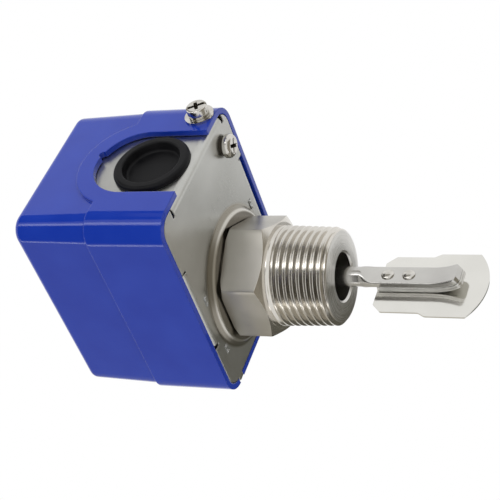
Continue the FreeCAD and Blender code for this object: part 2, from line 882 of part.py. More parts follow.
def make_cover():
    """Thin moulded shell with a proud skirt that arches over the cable entry's cut-out."""
    body = new_body("cover")
    wall, step, draft = size("cover_wall"), size("skirt_step"), size("cover_draft")
    corner = size("cover_corner")
    shoulder = corner - step
    sketch = new_sketch(body, "XY_Plane", PLATE_FACE)
    outline(sketch, cover_corners(as_length(0), corner))
    pad(body, sketch, size("skirt_height"))
    low = new_sketch(body, "XY_Plane", SKIRT_TOP - 1)
    outline(low, cover_corners(step, shoulder))
    high = new_sketch(body, "XY_Plane", COVER_TOP)
    outline(high, cover_corners(step + draft, shoulder - draft))
    loft(body, low, high)
    sketch = new_sketch(body, "YZ_Plane", COVER_FRONT - wall - 1)
    arch(sketch, size("arch_radius"), CUTOUT_CENTRE, SKIRT_TOP - size("arch_radius"))
    pad(body, sketch, wall + 1)
    fillet(body, size("cover_top_round"), lies_at(z=COVER_TOP))
    fillet(body, size("soft_edge"), lambda e: lies_at(z=SKIRT_TOP)(e) and is_skirt_edge(e))
    hollow_cover(body)
    open_cover(body)


def is_skirt_edge(edge):
    """True for the skirt's outer rim, which is drawn at full size, not for the foot of the step."""
    point = edge.CenterOfMass
    corner = size("cover_corner")
    straight_x = near(point.x, COVER_REAR) or near(point.x, COVER_FRONT)
    straight_y = near(abs(point.y), COVER_SIDE)
    curved = is_circle(edge, corner)
    return straight_x or straight_y or curved


def hollow_cover(body):
    """The inside follows the outside: wide behind the skirt and its arch, drawn in above them."""
    wall, step, draft = size("cover_wall"), size("skirt_step"), size("cover_draft")
    shoulder = size("cover_corner") - step - wall
    low = new_sketch(body, "XY_Plane", SKIRT_TOP - 1)
    outline(low, cover_corners(step + wall, shoulder))
    high = new_sketch(body, "XY_Plane", COVER_TOP - wall)
    outline(high, cover_corners(step + draft + wall, shoulder - draft))
    loft_cut(body, low, high)
    sketch = new_sketch(body, "XY_Plane", PLATE_FACE - 1)
    outline(sketch, cover_corners(step + wall, shoulder))
    pocket(body, sketch, size("skirt_height") + size("draft_overlap"))
    sketch = new_sketch(body, "XY_Plane", PLATE_FACE - 1)
    outline(sketch, cover_corners(wall, size("cover_corner") - wall))
    pocket(body, sketch, size("skirt_height") - size("ledge_thickness") + 1)
    sketch = new_sketch(body, "YZ_Plane", FLANGE_BACK - 1)
    inside = size("arch_radius") - size("ledge_thickness")
    arch(sketch, inside, CUTOUT_CENTRE, SKIRT_TOP - size("arch_radius") + 1)
    pocket(body, sketch, size("sheet") + size("plate_gap") + 1)


def open_cover(body):
    """The cable entry's cut-out, the screw's hole and the notches over the plate's tongues."""
    sketch = new_sketch(body, "YZ_Plane", FLANGE_BACK)
    arch(sketch, size("cutout_radius"), CUTOUT_CENTRE, PLATE_FACE - 1)
    pocket(body, sketch, size("cover_wall") * 3)
    sketch = new_sketch(body, "YZ_Plane", FLANGE_BACK)
    side = size("crown_notch_side")
    rise = root(size("cutout_radius") * size("cutout_radius") - side * side)
    circle(sketch, size("crown_notch_radius"), side, CUTOUT_CENTRE + rise)
    circle(sketch, half("m_four") + size("hole_play"), COVER_SCREW_SIDE, COVER_SCREW_LEVEL)
    pocket(body, sketch, size("cover_wall") * 3)
    gap = size("plate_gap")
    room = half("tongue_width") + gap
    sketch = new_sketch(body, "XY_Plane", PLATE_FACE - 1)
    for side in (TONGUE_SIDE, -TONGUE_SIDE):
        outline(sketch, box_corners(COVER_REAR - 1, PLATE_REAR, side - room, side + room))
    pocket(body, sketch, size("sheet") + gap + 1)


def make_conduit_grommet():
    """Blind rubber plug: a raised rim round a dished membrane, with the sheet in its groove."""
    body = new_body("conduit_grommet")
    play, back = size("grommet_play"), size("groove_back")
    height, dish = size("grommet_height"), size("dish_depth")
    sheet, lip = size("sheet"), size("grommet_lip")
    floor = height - dish
    sketch = new_sketch(body, "XZ_Plane")
    outline(
        sketch,
        [
            (0, floor - size("membrane")),
            (half("dish_diameter") - back, floor - size("membrane"), size("fine_corner")),
            (half("dish_diameter") - back, -sheet - lip),
            (half("grommet_lip_diameter"), -sheet - lip, size("lip_round")),
            (half("grommet_lip_diameter"), -sheet - play),
            (half("entry_diameter") - play, -sheet - play),
            (half("entry_diameter") - play, play),
            (half("grommet_diameter"), play),
            (half("grommet_diameter"), height, size("grommet_rim_round")),
            (half("dish_diameter"), height, size("lip_round")),
            (half("dish_diameter") - size("dish_draft"), floor, size("dish_round")),
            (0, floor),
        ],
    )
    turn(body, sketch)
    place(body, PLATE_FRONT, 0, ENTRY_CENTRE, TO_CABLE)


def make_cover_screw():
    """The cover screw with its spring washer, flat washer and the nut clinched into the flange."""
    shank = half("m_four")
    side, level = COVER_SCREW_SIDE, COVER_SCREW_LEVEL
    outer, thickness = half("flat_washer_diameter"), size("flat_washer_thickness")
    flat = washer("cover_flat_washer", outer, shank + size("hole_play"), thickness)
    place(flat, COVER_FRONT, side, level, TO_CABLE)
    seat = COVER_FRONT + size("flat_washer_thickness")
    outer, thickness = half("spring_washer_diameter"), size("spring_washer_thickness")
    split = washer("cover_spring_washer", outer, shank + size("washer_play"), thickness)
    sketch = new_sketch(split, "XY_Plane", -1)
    gap = half("spring_washer_gap")
    outline(sketch, box_corners(0, outer + 1, -gap, gap))
    pocket(split, sketch, thickness + 2)
    place(split, seat, side, level, TO_CABLE)
    seat = seat + size("spring_washer_thickness")
    head, height = half("cover_screw_head_diameter"), size("cover_screw_head_height")
    screw = headed_screw("cover_screw", shank, size("cover_screw_length"), head, height, 0.4)
    drive_slot(screw, head, height, size("drive_width"), size("slot_depth"))
    drive_cross(screw, head, height, size("drive_width"), size("cross_depth"))
    place(screw, seat, side, level, TO_CABLE)
    nut = new_body("cover_clinch_nut")
    bore = shank + size("thread_play")
    collar = half("clinch_nut_diameter")
    waist = collar - size("clinch_waist") - size("thread_play")
    sketch = new_sketch(nut, "XZ_Plane")
    outline(
        sketch,
        [
            (bore, 0),
            (waist, 0),
            (waist, -size("sheet")),
            (collar, -size("sheet")),
            (collar, -size("sheet") - size("clinch_nut_length")),
            (bore, -size("sheet") - size("clinch_nut_length")),
        ],
    )
    turn(nut, sketch)
    place(nut, PLATE_FRONT, side, level, TO_CABLE)


def make_earth_screw():
    """The earth screw under the plate, its lock washer and its nut inside."""
    shank = half("m_four")
    forward, side = size("earth_forward"), EARTH_SIDE
    thickness = size("earth_washer_thickness")
    lock = washer("earth_washer", half("earth_washer_diameter"), shank + size("washer_play"), thickness)
    place(lock, forward, side, PLATE_FACE, DOWN)
    head, height = half("earth_head_diameter"), size("earth_head_height")
    screw = headed_screw("earth_screw", shank, size("earth_screw_length"), head, height, 0.8)
    drive_cross(screw, head, height, size("drive_width"), size("cross_depth"))
    place(screw, forward, side, PLATE_FACE - thickness, DOWN)
    bore = shank + size("thread_play")
    nut = hexagon_nut("earth_nut", size("earth_nut_flats"), size("earth_nut_height"), bore)
    place(nut, forward, side, PLATE_INSIDE)


# Bellows seal, rod and paddle


def make_bellows():
    """The collar on the neck, the folded metal tube and the cap that the rod is brazed into."""
    collar = new_body("bellows_collar")
    sketch = new_sketch(collar, "XY_Plane", NECK_TOP)
    circle(sketch, half("collar_diameter"))
    circle(sketch, half("bellows_inner_diameter") - size("bellows_wall"))
    pad(collar, sketch, size("collar_thickness"))
    rim = lies_at(z=BELLOWS_FOOT)
    chamfer(collar, size("soft_edge"), lambda e: rim(e) and is_circle(e, half("collar_diameter")))

    tube = new_body("bellows")
    root_radius, crest = half("bellows_inner_diameter"), half("bellows_outer_diameter")
    wall, pitch = size("bellows_wall"), size("bellows_pitch")
    land = pitch * 0.15
    middle = BELLOWS_FOOT + pitch / 2
    sketch = new_sketch(tube, "XZ_Plane")
    outline(
        sketch,
        [
            (root_radius, BELLOWS_FOOT),
            (root_radius, BELLOWS_FOOT + land),
            (crest, middle - land),
            (crest, middle + land),
            (root_radius, BELLOWS_FOOT + pitch - land),
            (root_radius, BELLOWS_FOOT + pitch),
            (root_radius - wall, BELLOWS_FOOT + pitch),
            (root_radius - wall, BELLOWS_FOOT + pitch - land),
            (crest - wall, middle),
            (root_radius - wall, BELLOWS_FOOT + land),
            (root_radius - wall, BELLOWS_FOOT),
        ],
    )
    fold = turn(tube, sketch)
    row_of(tube, [fold], "Z_Axis", pitch, size("bellows_folds"))

    cap = new_body("bellows_cap")
    sketch = new_sketch(cap, "XY_Plane", BELLOWS_TOP)
    circle(sketch, half("cap_diameter"))
    circle(sketch, half("rod_diameter") + size("rod_play"))
    pad(cap, sketch, size("cap_thickness"))
    rim = lies_at(z=CAP_TOP)
    chamfer(cap, size("soft_edge"), lambda e: rim(e) and is_circle(e, half("cap_diameter")))


def curled_outline(sketch, front, back, start):
    """Side view of a bar that runs straight down from the start and then curls with the flow."""
    bend = as_length(-size("flat_end"))
    centre = half("flat_thickness") + size("curl_radius")
    angle = size("curl_angle")
    inner, outer = centre - front, centre - back
    turn_by = math.radians(angle.value)
    stop = FreeCAD.Vector(centre.value, bend.value, 0)

    def on_arc(radius, part):
        return stop - FreeCAD.Vector(radius.value * math.cos(part), radius.value * math.sin(part), 0)

    def curl(radius):
        return add_arc(sketch, stop, radius.value, on_arc(radius, 0), turn_by)

    up_back = FreeCAD.Vector(back.value, start.value, 0)
    up_front = FreeCAD.Vector(front.value, start.value, 0)
    top = sketch.addGeometry(Part.LineSegment(up_front, up_back))
    rear = sketch.addGeometry(Part.LineSegment(up_back, on_arc(outer, 0)))
    outside = curl(outer)
    tip = sketch.addGeometry(Part.LineSegment(on_arc(outer, turn_by), on_arc(inner, turn_by)))
    inside = curl(inner)
    face = sketch.addGeometry(Part.LineSegment(on_arc(inner, 0), up_front))
    joints = (
        (top, 2, rear, 1),
        (rear, 2, outside, 1),
        (outside, 2, tip, 1),
        (tip, 2, inside, 2),
        (inside, 1, face, 1),
        (face, 2, top, 1),
    )
    for one, end, two, begin in joints:
        sketch.addConstraint(Sketcher.Constraint("Coincident", one, end, two, begin))
    pin_point(sketch, top, 1, front, start)
    pin_point(sketch, top, 2, back, start)
    pin_point(sketch, outside, 3, centre, bend)
    pin_point(sketch, inside, 3, centre, bend)
    pin_point(sketch, outside, 1, centre - outer, bend)
    pin_point(sketch, inside, 1, centre - inner, bend)
    bind(sketch, "DistanceY", -1, 1, outside, 2, value=bend - outer * sine(angle))
    bind(sketch, "DistanceY", -1, 1, inside, 2, value=bend - inner * sine(angle))


def make_paddle_rod():
    """Round rod with a threaded top, forged flat below the fitting and curled at its end."""
    body = new_body("paddle_rod")
    radius, top = half("rod_diameter"), half("rod_top_diameter")
    tip = LEVER_FOOT + size("rod_top_length")
    sketch = new_sketch(body, "XZ_Plane")
    foot = -size("rod_round_end")
    corners = [(0, foot), (radius, foot), (radius, LEVER_FOOT), (top, LEVER_FOOT)]
    edge = size("bore_chamfer")
    outline(sketch, corners + [(top, tip - edge), (top - edge, tip), (0, tip)])
    turn(body, sketch)
    round_end = new_sketch(body, "XY_Plane", -size("rod_round_end"))
    circle(round_end, radius)
    flat = new_sketch(body, "XY_Plane", -size("flat_start"))
    thick, wide = half("flat_thickness"), half("flat_width")
    outline(flat, box_corners(-thick, thick, -wide, wide, size("fine_corner")))
    loft(body, round_end, flat)
    bar = new_sketch(body, "XZ_Plane")
    curled_outline(bar, thick, -thick, as_length(-size("flat_start")))
    pad(body, bar, size("flat_width"), both_ways=True)
    drill_for_rivets(body)


def drill_for_rivets(body):
    """The two rivet holes, through whatever is stacked on the rod's flat."""
    sketch = new_sketch(body, "YZ_Plane")
    for step in (0, 1):
        up = -size("rivet_first") - size("rivet_pitch") * step
        circle(sketch, half("rivet_diameter") + size("rod_play"), 0, up)
    pocket(body, sketch, both_ways=True)


def make_backing_strips():
    """Two leaf strips behind the rod's flat, curled like it, which bend the vane gently."""
    for number, label in enumerate(("inner_backing_strip", "outer_backing_strip")):
        body = new_body(label)
        front = -half("flat_thickness") - size("strip_thickness") * number
        sketch = new_sketch(body, "XZ_Plane")
        curled_outline(sketch, front, front - size("strip_thickness"), as_length(-size("strip_start")))
        pad(body, sketch, size("flat_width"), both_ways=True)
        drill_for_rivets(body)


def make_paddle_vane():
    """Thin stainless vane: a narrower root with bevelled corners and a round free end."""
    body = new_body("paddle_vane")
    start = -size("vane_start")
    end = start - size("vane_length")
    root_side, side = half("vane_root_width"), half("vane_width")
    bevel = size("vane_root_bevel")
    shoulder = as_length(-size("vane_shoulder"))
    slope = (side - root_side) * 1.6
    radius = size("vane_end_radius")
    sketch = new_sketch(body, "YZ_Plane", -STACK_BACK - size("vane_thickness"))
    right = [
        (root_side - bevel, start),
        (root_side, start - bevel, size("blank_corner")),
        (root_side, shoulder, size("stamped_corner")),
        (side, shoulder - slope, size("stamped_corner")),
        (side, end - 1),
    ]
    left = [(-corner[0],) + tuple(corner[1:]) for corner in reversed(right)]
    outline(sketch, right + left)
    pad(body, sketch, size("vane_thickness"))
    sketch = new_sketch(body, "YZ_Plane", -STACK_BACK - size("vane_thickness") - 1)
    circle(sketch, radius, 0, end + radius)
    circle(sketch, radius * 2, 0, end + radius)
    pocket(body, sketch, size("vane_thickness") + 2)
    drill_for_rivets(body)


def make_rivets():
    """Two rivets: a low domed head in front of the flat and an upset end behind the vane."""
    body = new_body("paddle_rivets")
    shank, head = half("rivet_diameter"), half("rivet_head_diameter")
    back, height = STACK_BACK + size("vane_thickness"), size("rivet_head_height")
    front = half("flat_thickness")
    sketch = new_sketch(body, "XZ_Plane")
    level = -size("rivet_first")
    domed = height * 0.75
    outline(
        sketch,
        [
            (-back - height, level),
            (-back - height, level + head * 0.8, domed * 0.6),
            (-back, level + head * 0.8),
            (-back, level + shank),
            (front, level + shank),
            (front, level + head),
            (front + height, level + head, domed),
            (front + height, level),
        ],
    )
    rivet = turn_about_level(body, sketch, level, -back - height - 1, front + height + 1)
    row_of(body, [rivet], "Z_Axis", size("rivet_pitch"), as_length(2)).Reversed = True


def make_rod_nut():
    """The lever is clamped on the rod's shoulder by a lock washer and a nut."""
    bore = half("rod_top_diameter")
    outer, thickness = half("rod_washer_diameter"), size("rod_washer_thickness")
    lock = washer("rod_washer", outer, bore + size("washer_play"), thickness)
    place(lock, 0, 0, LEVER_TOP)
    nut = hexagon_nut("rod_nut", size("rod_nut_flats"), size("rod_nut_height"), bore + size("thread_play"))
    place(nut, 0, 0, LEVER_TOP + thickness)


# Lever, bracket and flow setting


def make_lever_bracket():
    """Folded frame over the bellows: two cheeks tabbed into the plate, a bridge and a back wall."""
    body = new_body("lever_bracket")
    sheet = size("sheet")
    rear, front = -size("cheek_rear"), size("cheek_front")
    reach, wide = half("tab_spacing"), half("tab_width")
    foot = PLATE_FACE - size("tab_proud")
    sketch = new_sketch(body, "XZ_Plane", CHEEK_INSIDE)
    curve = size("blank_corner")
    corners = [(rear, PLATE_INSIDE, curve)]
    for x in (-reach, reach):
        corners += [(x - wide, PLATE_INSIDE), (x - wide, foot), (x + wide, foot), (x + wide, PLATE_INSIDE)]
    outline(sketch, corners + [(front, PLATE_INSIDE, curve), (front, BRIDGE_TOP), (rear, BRIDGE_TOP)])
    cheek = pad(body, sketch, sheet)
    mirrored(body, [cheek])

    tail, nose, narrow = -size("back_wall"), size("bridge_front"), half("bridge_width")
    wing, low = half("back_wall_width"), size("back_wall_foot")
    curve = size("pressed_corner")
    sketch = new_sketch(body, "XY_Plane", BRIDGE_FOOT)
    outline(
        sketch,
        [
            (tail, -wing),
            (rear, -wing),
            (rear, -CHEEK_OUTSIDE),
            (front, -CHEEK_OUTSIDE),
            (front, -narrow, size("stamped_corner")),
            (nose, -narrow, curve),
            (nose, narrow, curve),
            (front, narrow, size("stamped_corner")),
            (front, CHEEK_OUTSIDE),
            (rear, CHEEK_OUTSIDE),
            (rear, wing),
            (tail, wing),
        ],
    )
    pad(body, sketch, sheet)
    sketch = new_sketch(body, "YZ_Plane", tail)
    outline(sketch, [(-wing, low, curve), (wing, low, curve), (wing, BRIDGE_TOP), (-wing, BRIDGE_TOP)])
    pad(body, sketch, sheet)
    drill_bracket(body)
    fillet(body, size("bend_inside") + sheet * 0.6, lambda e: is_bracket_bend(e, tail))


def is_bracket_bend(edge, tail):
    """True for the outside edges over the two cheeks and the back wall."""
    over_cheek = any(lies_at(y=side, z=BRIDGE_TOP)(edge) for side in (CHEEK_OUTSIDE, -CHEEK_OUTSIDE))
    return over_cheek or lies_at(x=tail, z=BRIDGE_TOP)(edge)


def drill_bracket(body):
    """Holes in the bridge, the pivots in the cheeks and the pointer's slot in the back wall."""
    sketch = new_sketch(body, "XY_Plane", BRIDGE_FOOT - 1)
    circle(sketch, half("rod_nut_flats") + 3)
    circle(sketch, half("plunger_diameter") + 1, size("plunger_forward"))
    circle(sketch, half("m_four") + size("hole_play"), -size("setting_offset"))
    for across, side in SWITCH_SCREWS:
        circle(sketch, half("m_three"), across, side)
    pocket(body, sketch, size("sheet") + 2)
    sketch = new_sketch(body, "XZ_Plane")
    circle(sketch, half("pivot_diameter") + size("rod_play"), 0, size("pivot_height"))
    pocket(body, sketch, both_ways=True)
    play = size("pointer_play")
    side = half("pointer_width") + play
    low = size("setting_nut_foot") - play
    high = SETTING_NUT_TOP + size("setting_travel") + play
    sketch = new_sketch(body, "YZ_Plane", -size("back_wall") - 1)
    outline(sketch, box_corners(-side, side, low, high, size("soft_edge")))
    pocket(body, sketch, size("sheet") + 2)


def make_pivot_pins():
    """Two headed pins, riveted through the cheeks, on which the lever's arms turn."""
    body = new_body("pivot_pins")
    radius = half("pivot_diameter")
    inner = LEVER_OUTSIDE - size("sheet") - size("pivot_reach")
    sketch = new_sketch(body, "YZ_Plane")
    level = size("pivot_height")
    rim, face = level + radius + size("pivot_head_rim"), -CHEEK_OUTSIDE - size("pivot_head_height")
    outline(
        sketch,
        [
            (-inner, level),
            (-inner, level + radius, size("soft_edge")),
            (-CHEEK_OUTSIDE, level + radius),
            (-CHEEK_OUTSIDE, rim),
            (face, rim, size("fine_corner")),
            (face, level),
        ],
    )
    mirrored(body, [turn_about_level(body, sketch, level, -CHEEK_OUTSIDE - 1, -inner)])


def make_main_lever():
    """Stamped yoke: two arms down to the pivots, a web on the rod and a tongue to each end."""
    body = new_body("main_lever")
    sheet = size("sheet")
    arm, tongue = half("lever_arm_width"), half("lever_tongue_width")
    rear, front = -size("lever_rear"), size("lever_front")
    sketch = new_sketch(body, "XY_Plane", LEVER_FOOT)
    tip_curve, neck_curve = size("stamped_corner"), size("blank_corner")
    half_outline = [(rear, -tongue, tip_curve), (-arm, -tongue, neck_curve), (-arm, -LEVER_OUTSIDE)]
    half_outline += [(arm, -LEVER_OUTSIDE), (arm, -tongue, neck_curve), (front, -tongue, tip_curve)]
    mirror_half = [(corner[0], -corner[1]) + tuple(corner[2:]) for corner in reversed(half_outline)]
    outline(sketch, half_outline + mirror_half)
    pad(body, sketch, sheet)
    foot = size("pivot_height") - arm
    sketch = new_sketch(body, "XZ_Plane", LEVER_OUTSIDE - sheet)
    curve = arm - size("lever_arm_flat")
    outline(sketch, [(-arm, foot, curve), (arm, foot, curve), (arm, LEVER_TOP), (-arm, LEVER_TOP)])
    side_arm = pad(body, sketch, sheet)
    mirrored(body, [side_arm])
    sketch = new_sketch(body, "XY_Plane", LEVER_FOOT - 1)
    circle(sketch, half("rod_top_diameter") + size("washer_play"))
    circle(sketch, half("m_four") + size("lever_setting_play"), -size("setting_offset"))
    pocket(body, sketch, sheet + 2)
    sketch = new_sketch(body, "XZ_Plane")
    circle(sketch, half("pivot_diameter") + size("pivot_play"), 0, size("pivot_height"))
    pocket(body, sketch, both_ways=True)
    bends = [lies_at(y=side, z=LEVER_TOP) for side in (LEVER_OUTSIDE, -LEVER_OUTSIDE)]
    fillet(body, sheet, lambda e: any(test(e) for test in bends))


def make_flow_setting():
    """The setting screw with its clip, the nut with its pointer, and the spring under the lever."""
    offset = -size("setting_offset")
    shank = half("m_four")
    head, height = half("setting_head_diameter"), size("setting_head_height")
    screw = headed_screw("setting_screw", shank, BRIDGE_TOP - size("setting_screw_end"), head, height, 0.4)
    drive_slot(screw, head, height, size("drive_width"), size("setting_slot_depth"))
    place(screw, offset, 0, BRIDGE_TOP)
    outer, inner = shank + size("setting_clip_width"), shank + size("setting_clip_grip")
    clip = washer("setting_screw_clip", outer, inner, size("setting_clip_thickness"))
    place(clip, offset, 0, BRIDGE_FOOT - size("setting_clip_drop"))

    nut = new_body("setting_nut")
    long_side, wide = half("setting_nut_length"), half("setting_nut_width")
    sketch = new_sketch(nut, "XY_Plane", size("setting_nut_foot"))
    rear, front = offset - long_side, offset + long_side
    outline(sketch, box_corners(rear, front, -wide, wide, size("small_corner")))
    pad(nut, sketch, size("setting_nut_height"))
    pointer = half("pointer_width")
    sketch = new_sketch(nut, "XY_Plane", size("setting_nut_foot"))
    outline(sketch, box_corners(-size("back_wall") - 1, offset, -pointer, pointer))
    pad(nut, sketch, size("setting_nut_height"))
    sketch = new_sketch(nut, "XY_Plane", size("setting_nut_foot") - 1)
    circle(sketch, shank + size("thread_play"), offset)
    pocket(nut, sketch, size("setting_nut_height") + 2)

    spring = new_body("setting_spring")
    wire = half("spring_wire")
    gap = size("spring_seat_gap")
    height = LEVER_FOOT - SETTING_NUT_TOP - gap * 2 - size("spring_wire")
    sketch = new_sketch(spring, "XZ_Plane")
    circle(sketch, wire, half("spring_diameter"), wire)
    coil = spring.newObject("PartDesign::AdditiveHelix", "Coil")
    coil.Profile = sketch
    coil.ReferenceAxis = (datum(spring, "Z_Axis"), [""])
    coil.Mode = "height-turns-angle"
    coil.setExpression("Height", height.text)
    coil.setExpression("Turns", size("spring_turns").text)
    place(spring, offset, 0, SETTING_NUT_TOP + gap)


# Microswitch


def make_switch():
    """Switch case with a terminal deck, on an insulating sheet, held by two screws."""
    case = new_body("switch_case")
    rear, front, wide = size("switch_rear"), size("switch_front"), half("switch_width")
    sketch = new_sketch(case, "XY_Plane", SWITCH_FOOT)
    curve = size("blank_corner")
    outline(sketch, box_corners(rear, front + 1, -wide, wide, curve))
    pad(case, sketch, size("switch_height"))
    sketch = new_sketch(case, "XY_Plane", SWITCH_FOOT)
    deck = half("deck_width")
    outline(sketch, box_corners(front, size("deck_front"), -deck, deck, curve))
    pad(case, sketch, size("deck_height"))
    rib = half("barrier_thickness")
    first = -size("terminal_pitch") * 1.5
    sketch = new_sketch(case, "XY_Plane", DECK_TOP - 1)
    outline(sketch, box_corners(front, size("deck_front") - 1, first - rib, first + rib))
    barrier = pad(case, sketch, size("barrier_height") + 1)
    row_of(case, [barrier], "Y_Axis", size("terminal_pitch"), as_length(4))
    drill_switch_case(case)
    fixing_hole = half("m_three") + size("washer_play")
    rim = lies_at(z=SWITCH_TOP)
    chamfer(case, size("case_chamfer"), lambda e: rim(e) and not is_circle(e, fixing_hole))

    sheet = new_body("switch_insulator")
    sketch = new_sketch(sheet, "XY_Plane", BRIDGE_TOP)
    side = half("bridge_width")
    outline(sketch, box_corners(rear - 1, size("bridge_front"), -side, side, curve))
    circle(sketch, half("plunger_diameter") + 1, size("plunger_forward"))
    for across, side in SWITCH_SCREWS:
        circle(sketch, half("m_three") + size("washer_play"), across, side)
    pad(sheet, sketch, size("insulator"))

    plunger = new_body("switch_plunger")
    radius = half("plunger_diameter")
    sketch = new_sketch(plunger, "XZ_Plane")
    top = PLUNGER_TOP - PLUNGER_TIP
    outline(sketch, [(0, 0), (radius, 0, radius * 0.8), (radius, top), (0, top)])
    turn(plunger, sketch)
    place(plunger, size("plunger_forward"), 0, PLUNGER_TIP)


def drill_switch_case(case):
    """The plunger's guide, the two fixing holes and the three terminal holes."""
    sketch = new_sketch(case, "XY_Plane", SWITCH_FOOT - 1)
    circle(sketch, half("plunger_diameter") + size("pivot_play"), size("plunger_forward"))
    pocket(case, sketch, size("plunger_depth") + size("plunger_travel") + size("plunger_room"))
    sketch = new_sketch(case, "XY_Plane", SWITCH_FOOT - 1)
    for across, side in SWITCH_SCREWS:
        circle(sketch, half("m_three") + size("washer_play"), across, side)
    pocket(case, sketch, size("switch_height") + 2)
    sketch = new_sketch(case, "XY_Plane", DECK_TOP - size("terminal_screw_length"))
    for step in (-1, 0, 1):
        side = size("terminal_pitch") * step
        circle(sketch, half("m_three") + size("thread_play"), TERMINAL_FORWARD, side)
    pocket(case, sketch, size("terminal_screw_length") + size("barrier_height"))


def make_switch_fasteners():
    """Two fixing screws, and a clamp plate and a screw for each of the three terminals."""
    shank = half("m_three") - size("thread_play")
    head, height = half("small_head_diameter"), size("small_head_height")
    for name, (across, side) in zip(("rear_switch_screw", "front_switch_screw"), SWITCH_SCREWS):
        screw = headed_screw(name, shank, SWITCH_TOP - BRIDGE_FOOT, head, height)
        drive_cross(screw, head, height, size("small_drive_width"), size("small_cross_depth"))
        place(screw, across, side, SWITCH_TOP)

    plates = new_body("terminal_plates")
    length, wide = half("terminal_plate_length"), half("terminal_plate_width")
    first = as_length(-size("terminal_pitch"))
    sketch = new_sketch(plates, "XY_Plane", DECK_TOP)
    rear, front = TERMINAL_FORWARD - length, TERMINAL_FORWARD + length
    outline(sketch, box_corners(rear, front, first - wide, first + wide, size("fine_corner")))
    circle(sketch, half("m_three") + size("washer_play"), TERMINAL_FORWARD, first)
    plate = pad(plates, sketch, size("terminal_plate_thickness"))
    row_of(plates, [plate], "Y_Axis", size("terminal_pitch"), as_length(3))

    screws = headed_screw("terminal_screws", shank, size("terminal_screw_length"), head, height)
    drive_cross(screws, head, height, size("small_drive_width"), size("small_cross_depth"))
    DOCUMENT.recompute()
    row_of(screws, list(screws.Group[1::2]), "Y_Axis", size("terminal_pitch"), as_length(3))
    place(screws, TERMINAL_FORWARD, first, TERMINAL_TOP)


def check_document():
    """Stops if any object failed or any piece is not a sound solid."""
    for item in DOCUMENT.Objects:
        if "Invalid" in item.State or "Error" in item.State:
            raise ValueError(f"{item.Label} failed: {item.State}")
    for body in all_bodies():
        if body.Shape.isNull() or not body.Shape.isValid() or not body.Shape.Solids:
            raise ValueError(f"{body.Label} is not a sound solid")


def all_bodies():
    return [item for item in DOCUMENT.Objects if item.TypeId == "PartDesign::Body"]


def write_parts():
    os.makedirs("parts", exist_ok=True)
    for body in all_bodies():
        body.Shape.exportStep(f"parts/{body.Label}.step")
        print(f"{body.Label}: {len(body.Shape.Solids)} solid(s), {body.Shape.Volume:.1f} mm3")


def main():
    fill_sheet()
    make_fitting()
    bore = half("neck_diameter") + size("thread_play")
    neck_nut = hexagon_nut("neck_nut", size("neck_nut_flats"), size("neck_nut_height"), bore)
    place(neck_nut, 0, 0, size("hex_height") + size("sheet"))
    make_base_plate()
    make_cover()
    make_conduit_grommet()
    make_cover_screw()
    make_earth_screw()
    make_bellows()
    make_paddle_rod()
    make_backing_strips()
    make_paddle_vane()
    make_rivets()
    make_rod_nut()
    make_lever_bracket()
    make_pivot_pins()
    make_main_lever()
    make_flow_setting()
    make_switch()
    make_switch_fasteners()
    DOCUMENT.recompute()
    check_document()
    write_parts()


main()
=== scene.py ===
"""Looks of the paddle flow switch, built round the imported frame. Lengths are in millimetres times MM."""

import itertools
import json
import math

import bmesh
import bpy
from mathutils import Matrix, Vector


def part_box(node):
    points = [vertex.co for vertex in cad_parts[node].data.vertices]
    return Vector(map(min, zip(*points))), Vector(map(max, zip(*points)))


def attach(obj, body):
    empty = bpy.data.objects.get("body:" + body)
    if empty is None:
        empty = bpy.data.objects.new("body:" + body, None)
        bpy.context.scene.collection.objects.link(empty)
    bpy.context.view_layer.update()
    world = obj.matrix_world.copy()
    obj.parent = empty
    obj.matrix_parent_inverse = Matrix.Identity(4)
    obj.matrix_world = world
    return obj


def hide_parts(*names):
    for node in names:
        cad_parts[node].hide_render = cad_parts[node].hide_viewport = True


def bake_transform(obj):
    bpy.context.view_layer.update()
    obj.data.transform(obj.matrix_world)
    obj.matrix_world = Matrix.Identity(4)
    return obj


MM = 0.001
WELD_DISTANCE = 0.0005
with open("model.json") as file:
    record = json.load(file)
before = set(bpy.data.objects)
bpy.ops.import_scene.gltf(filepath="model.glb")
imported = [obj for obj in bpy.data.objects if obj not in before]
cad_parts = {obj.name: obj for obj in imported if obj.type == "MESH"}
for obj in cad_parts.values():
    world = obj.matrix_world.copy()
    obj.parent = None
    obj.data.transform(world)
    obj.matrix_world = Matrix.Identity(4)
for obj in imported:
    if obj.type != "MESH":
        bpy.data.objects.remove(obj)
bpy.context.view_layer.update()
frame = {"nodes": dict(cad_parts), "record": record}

HOUSING = "housing"
PADDLE = "paddle_lever"

# Camera as the photograph was taken: below the cable entry, with the thread pointing right
CAMERA_PLACE = Vector((288.0, -283.4, -176.2)) * MM
CAMERA_BACK = Vector((0.6326, -0.6486, -0.4232)).normalized()
CAMERA_RIGHT = Vector((0.718, 0.696, 0.0066)).cross(CAMERA_BACK).normalized()
CAMERA_UP = CAMERA_BACK.cross(CAMERA_RIGHT)
CAMERA_LENS = 96.3
CAMERA_SENSOR = 36.0
OBJECT_MIDDLE = Vector((8.0, 0.0, 5.0)) * MM
WORLD_ON_MATT = 0.75

# Noise: the first range holds nearly all that a noise gives, the second a noise and half another
NOISE_RANGE = (0.3, 0.7)
SUM_RANGE = (0.35, 1.15)
FINE_RELIEF = 0.03
COARSE_RELIEF = 0.04

# Sockets of a Mix node that mixes colours
MIX_FIRST, MIX_SECOND, MIX_RESULT = 6, 7, 2

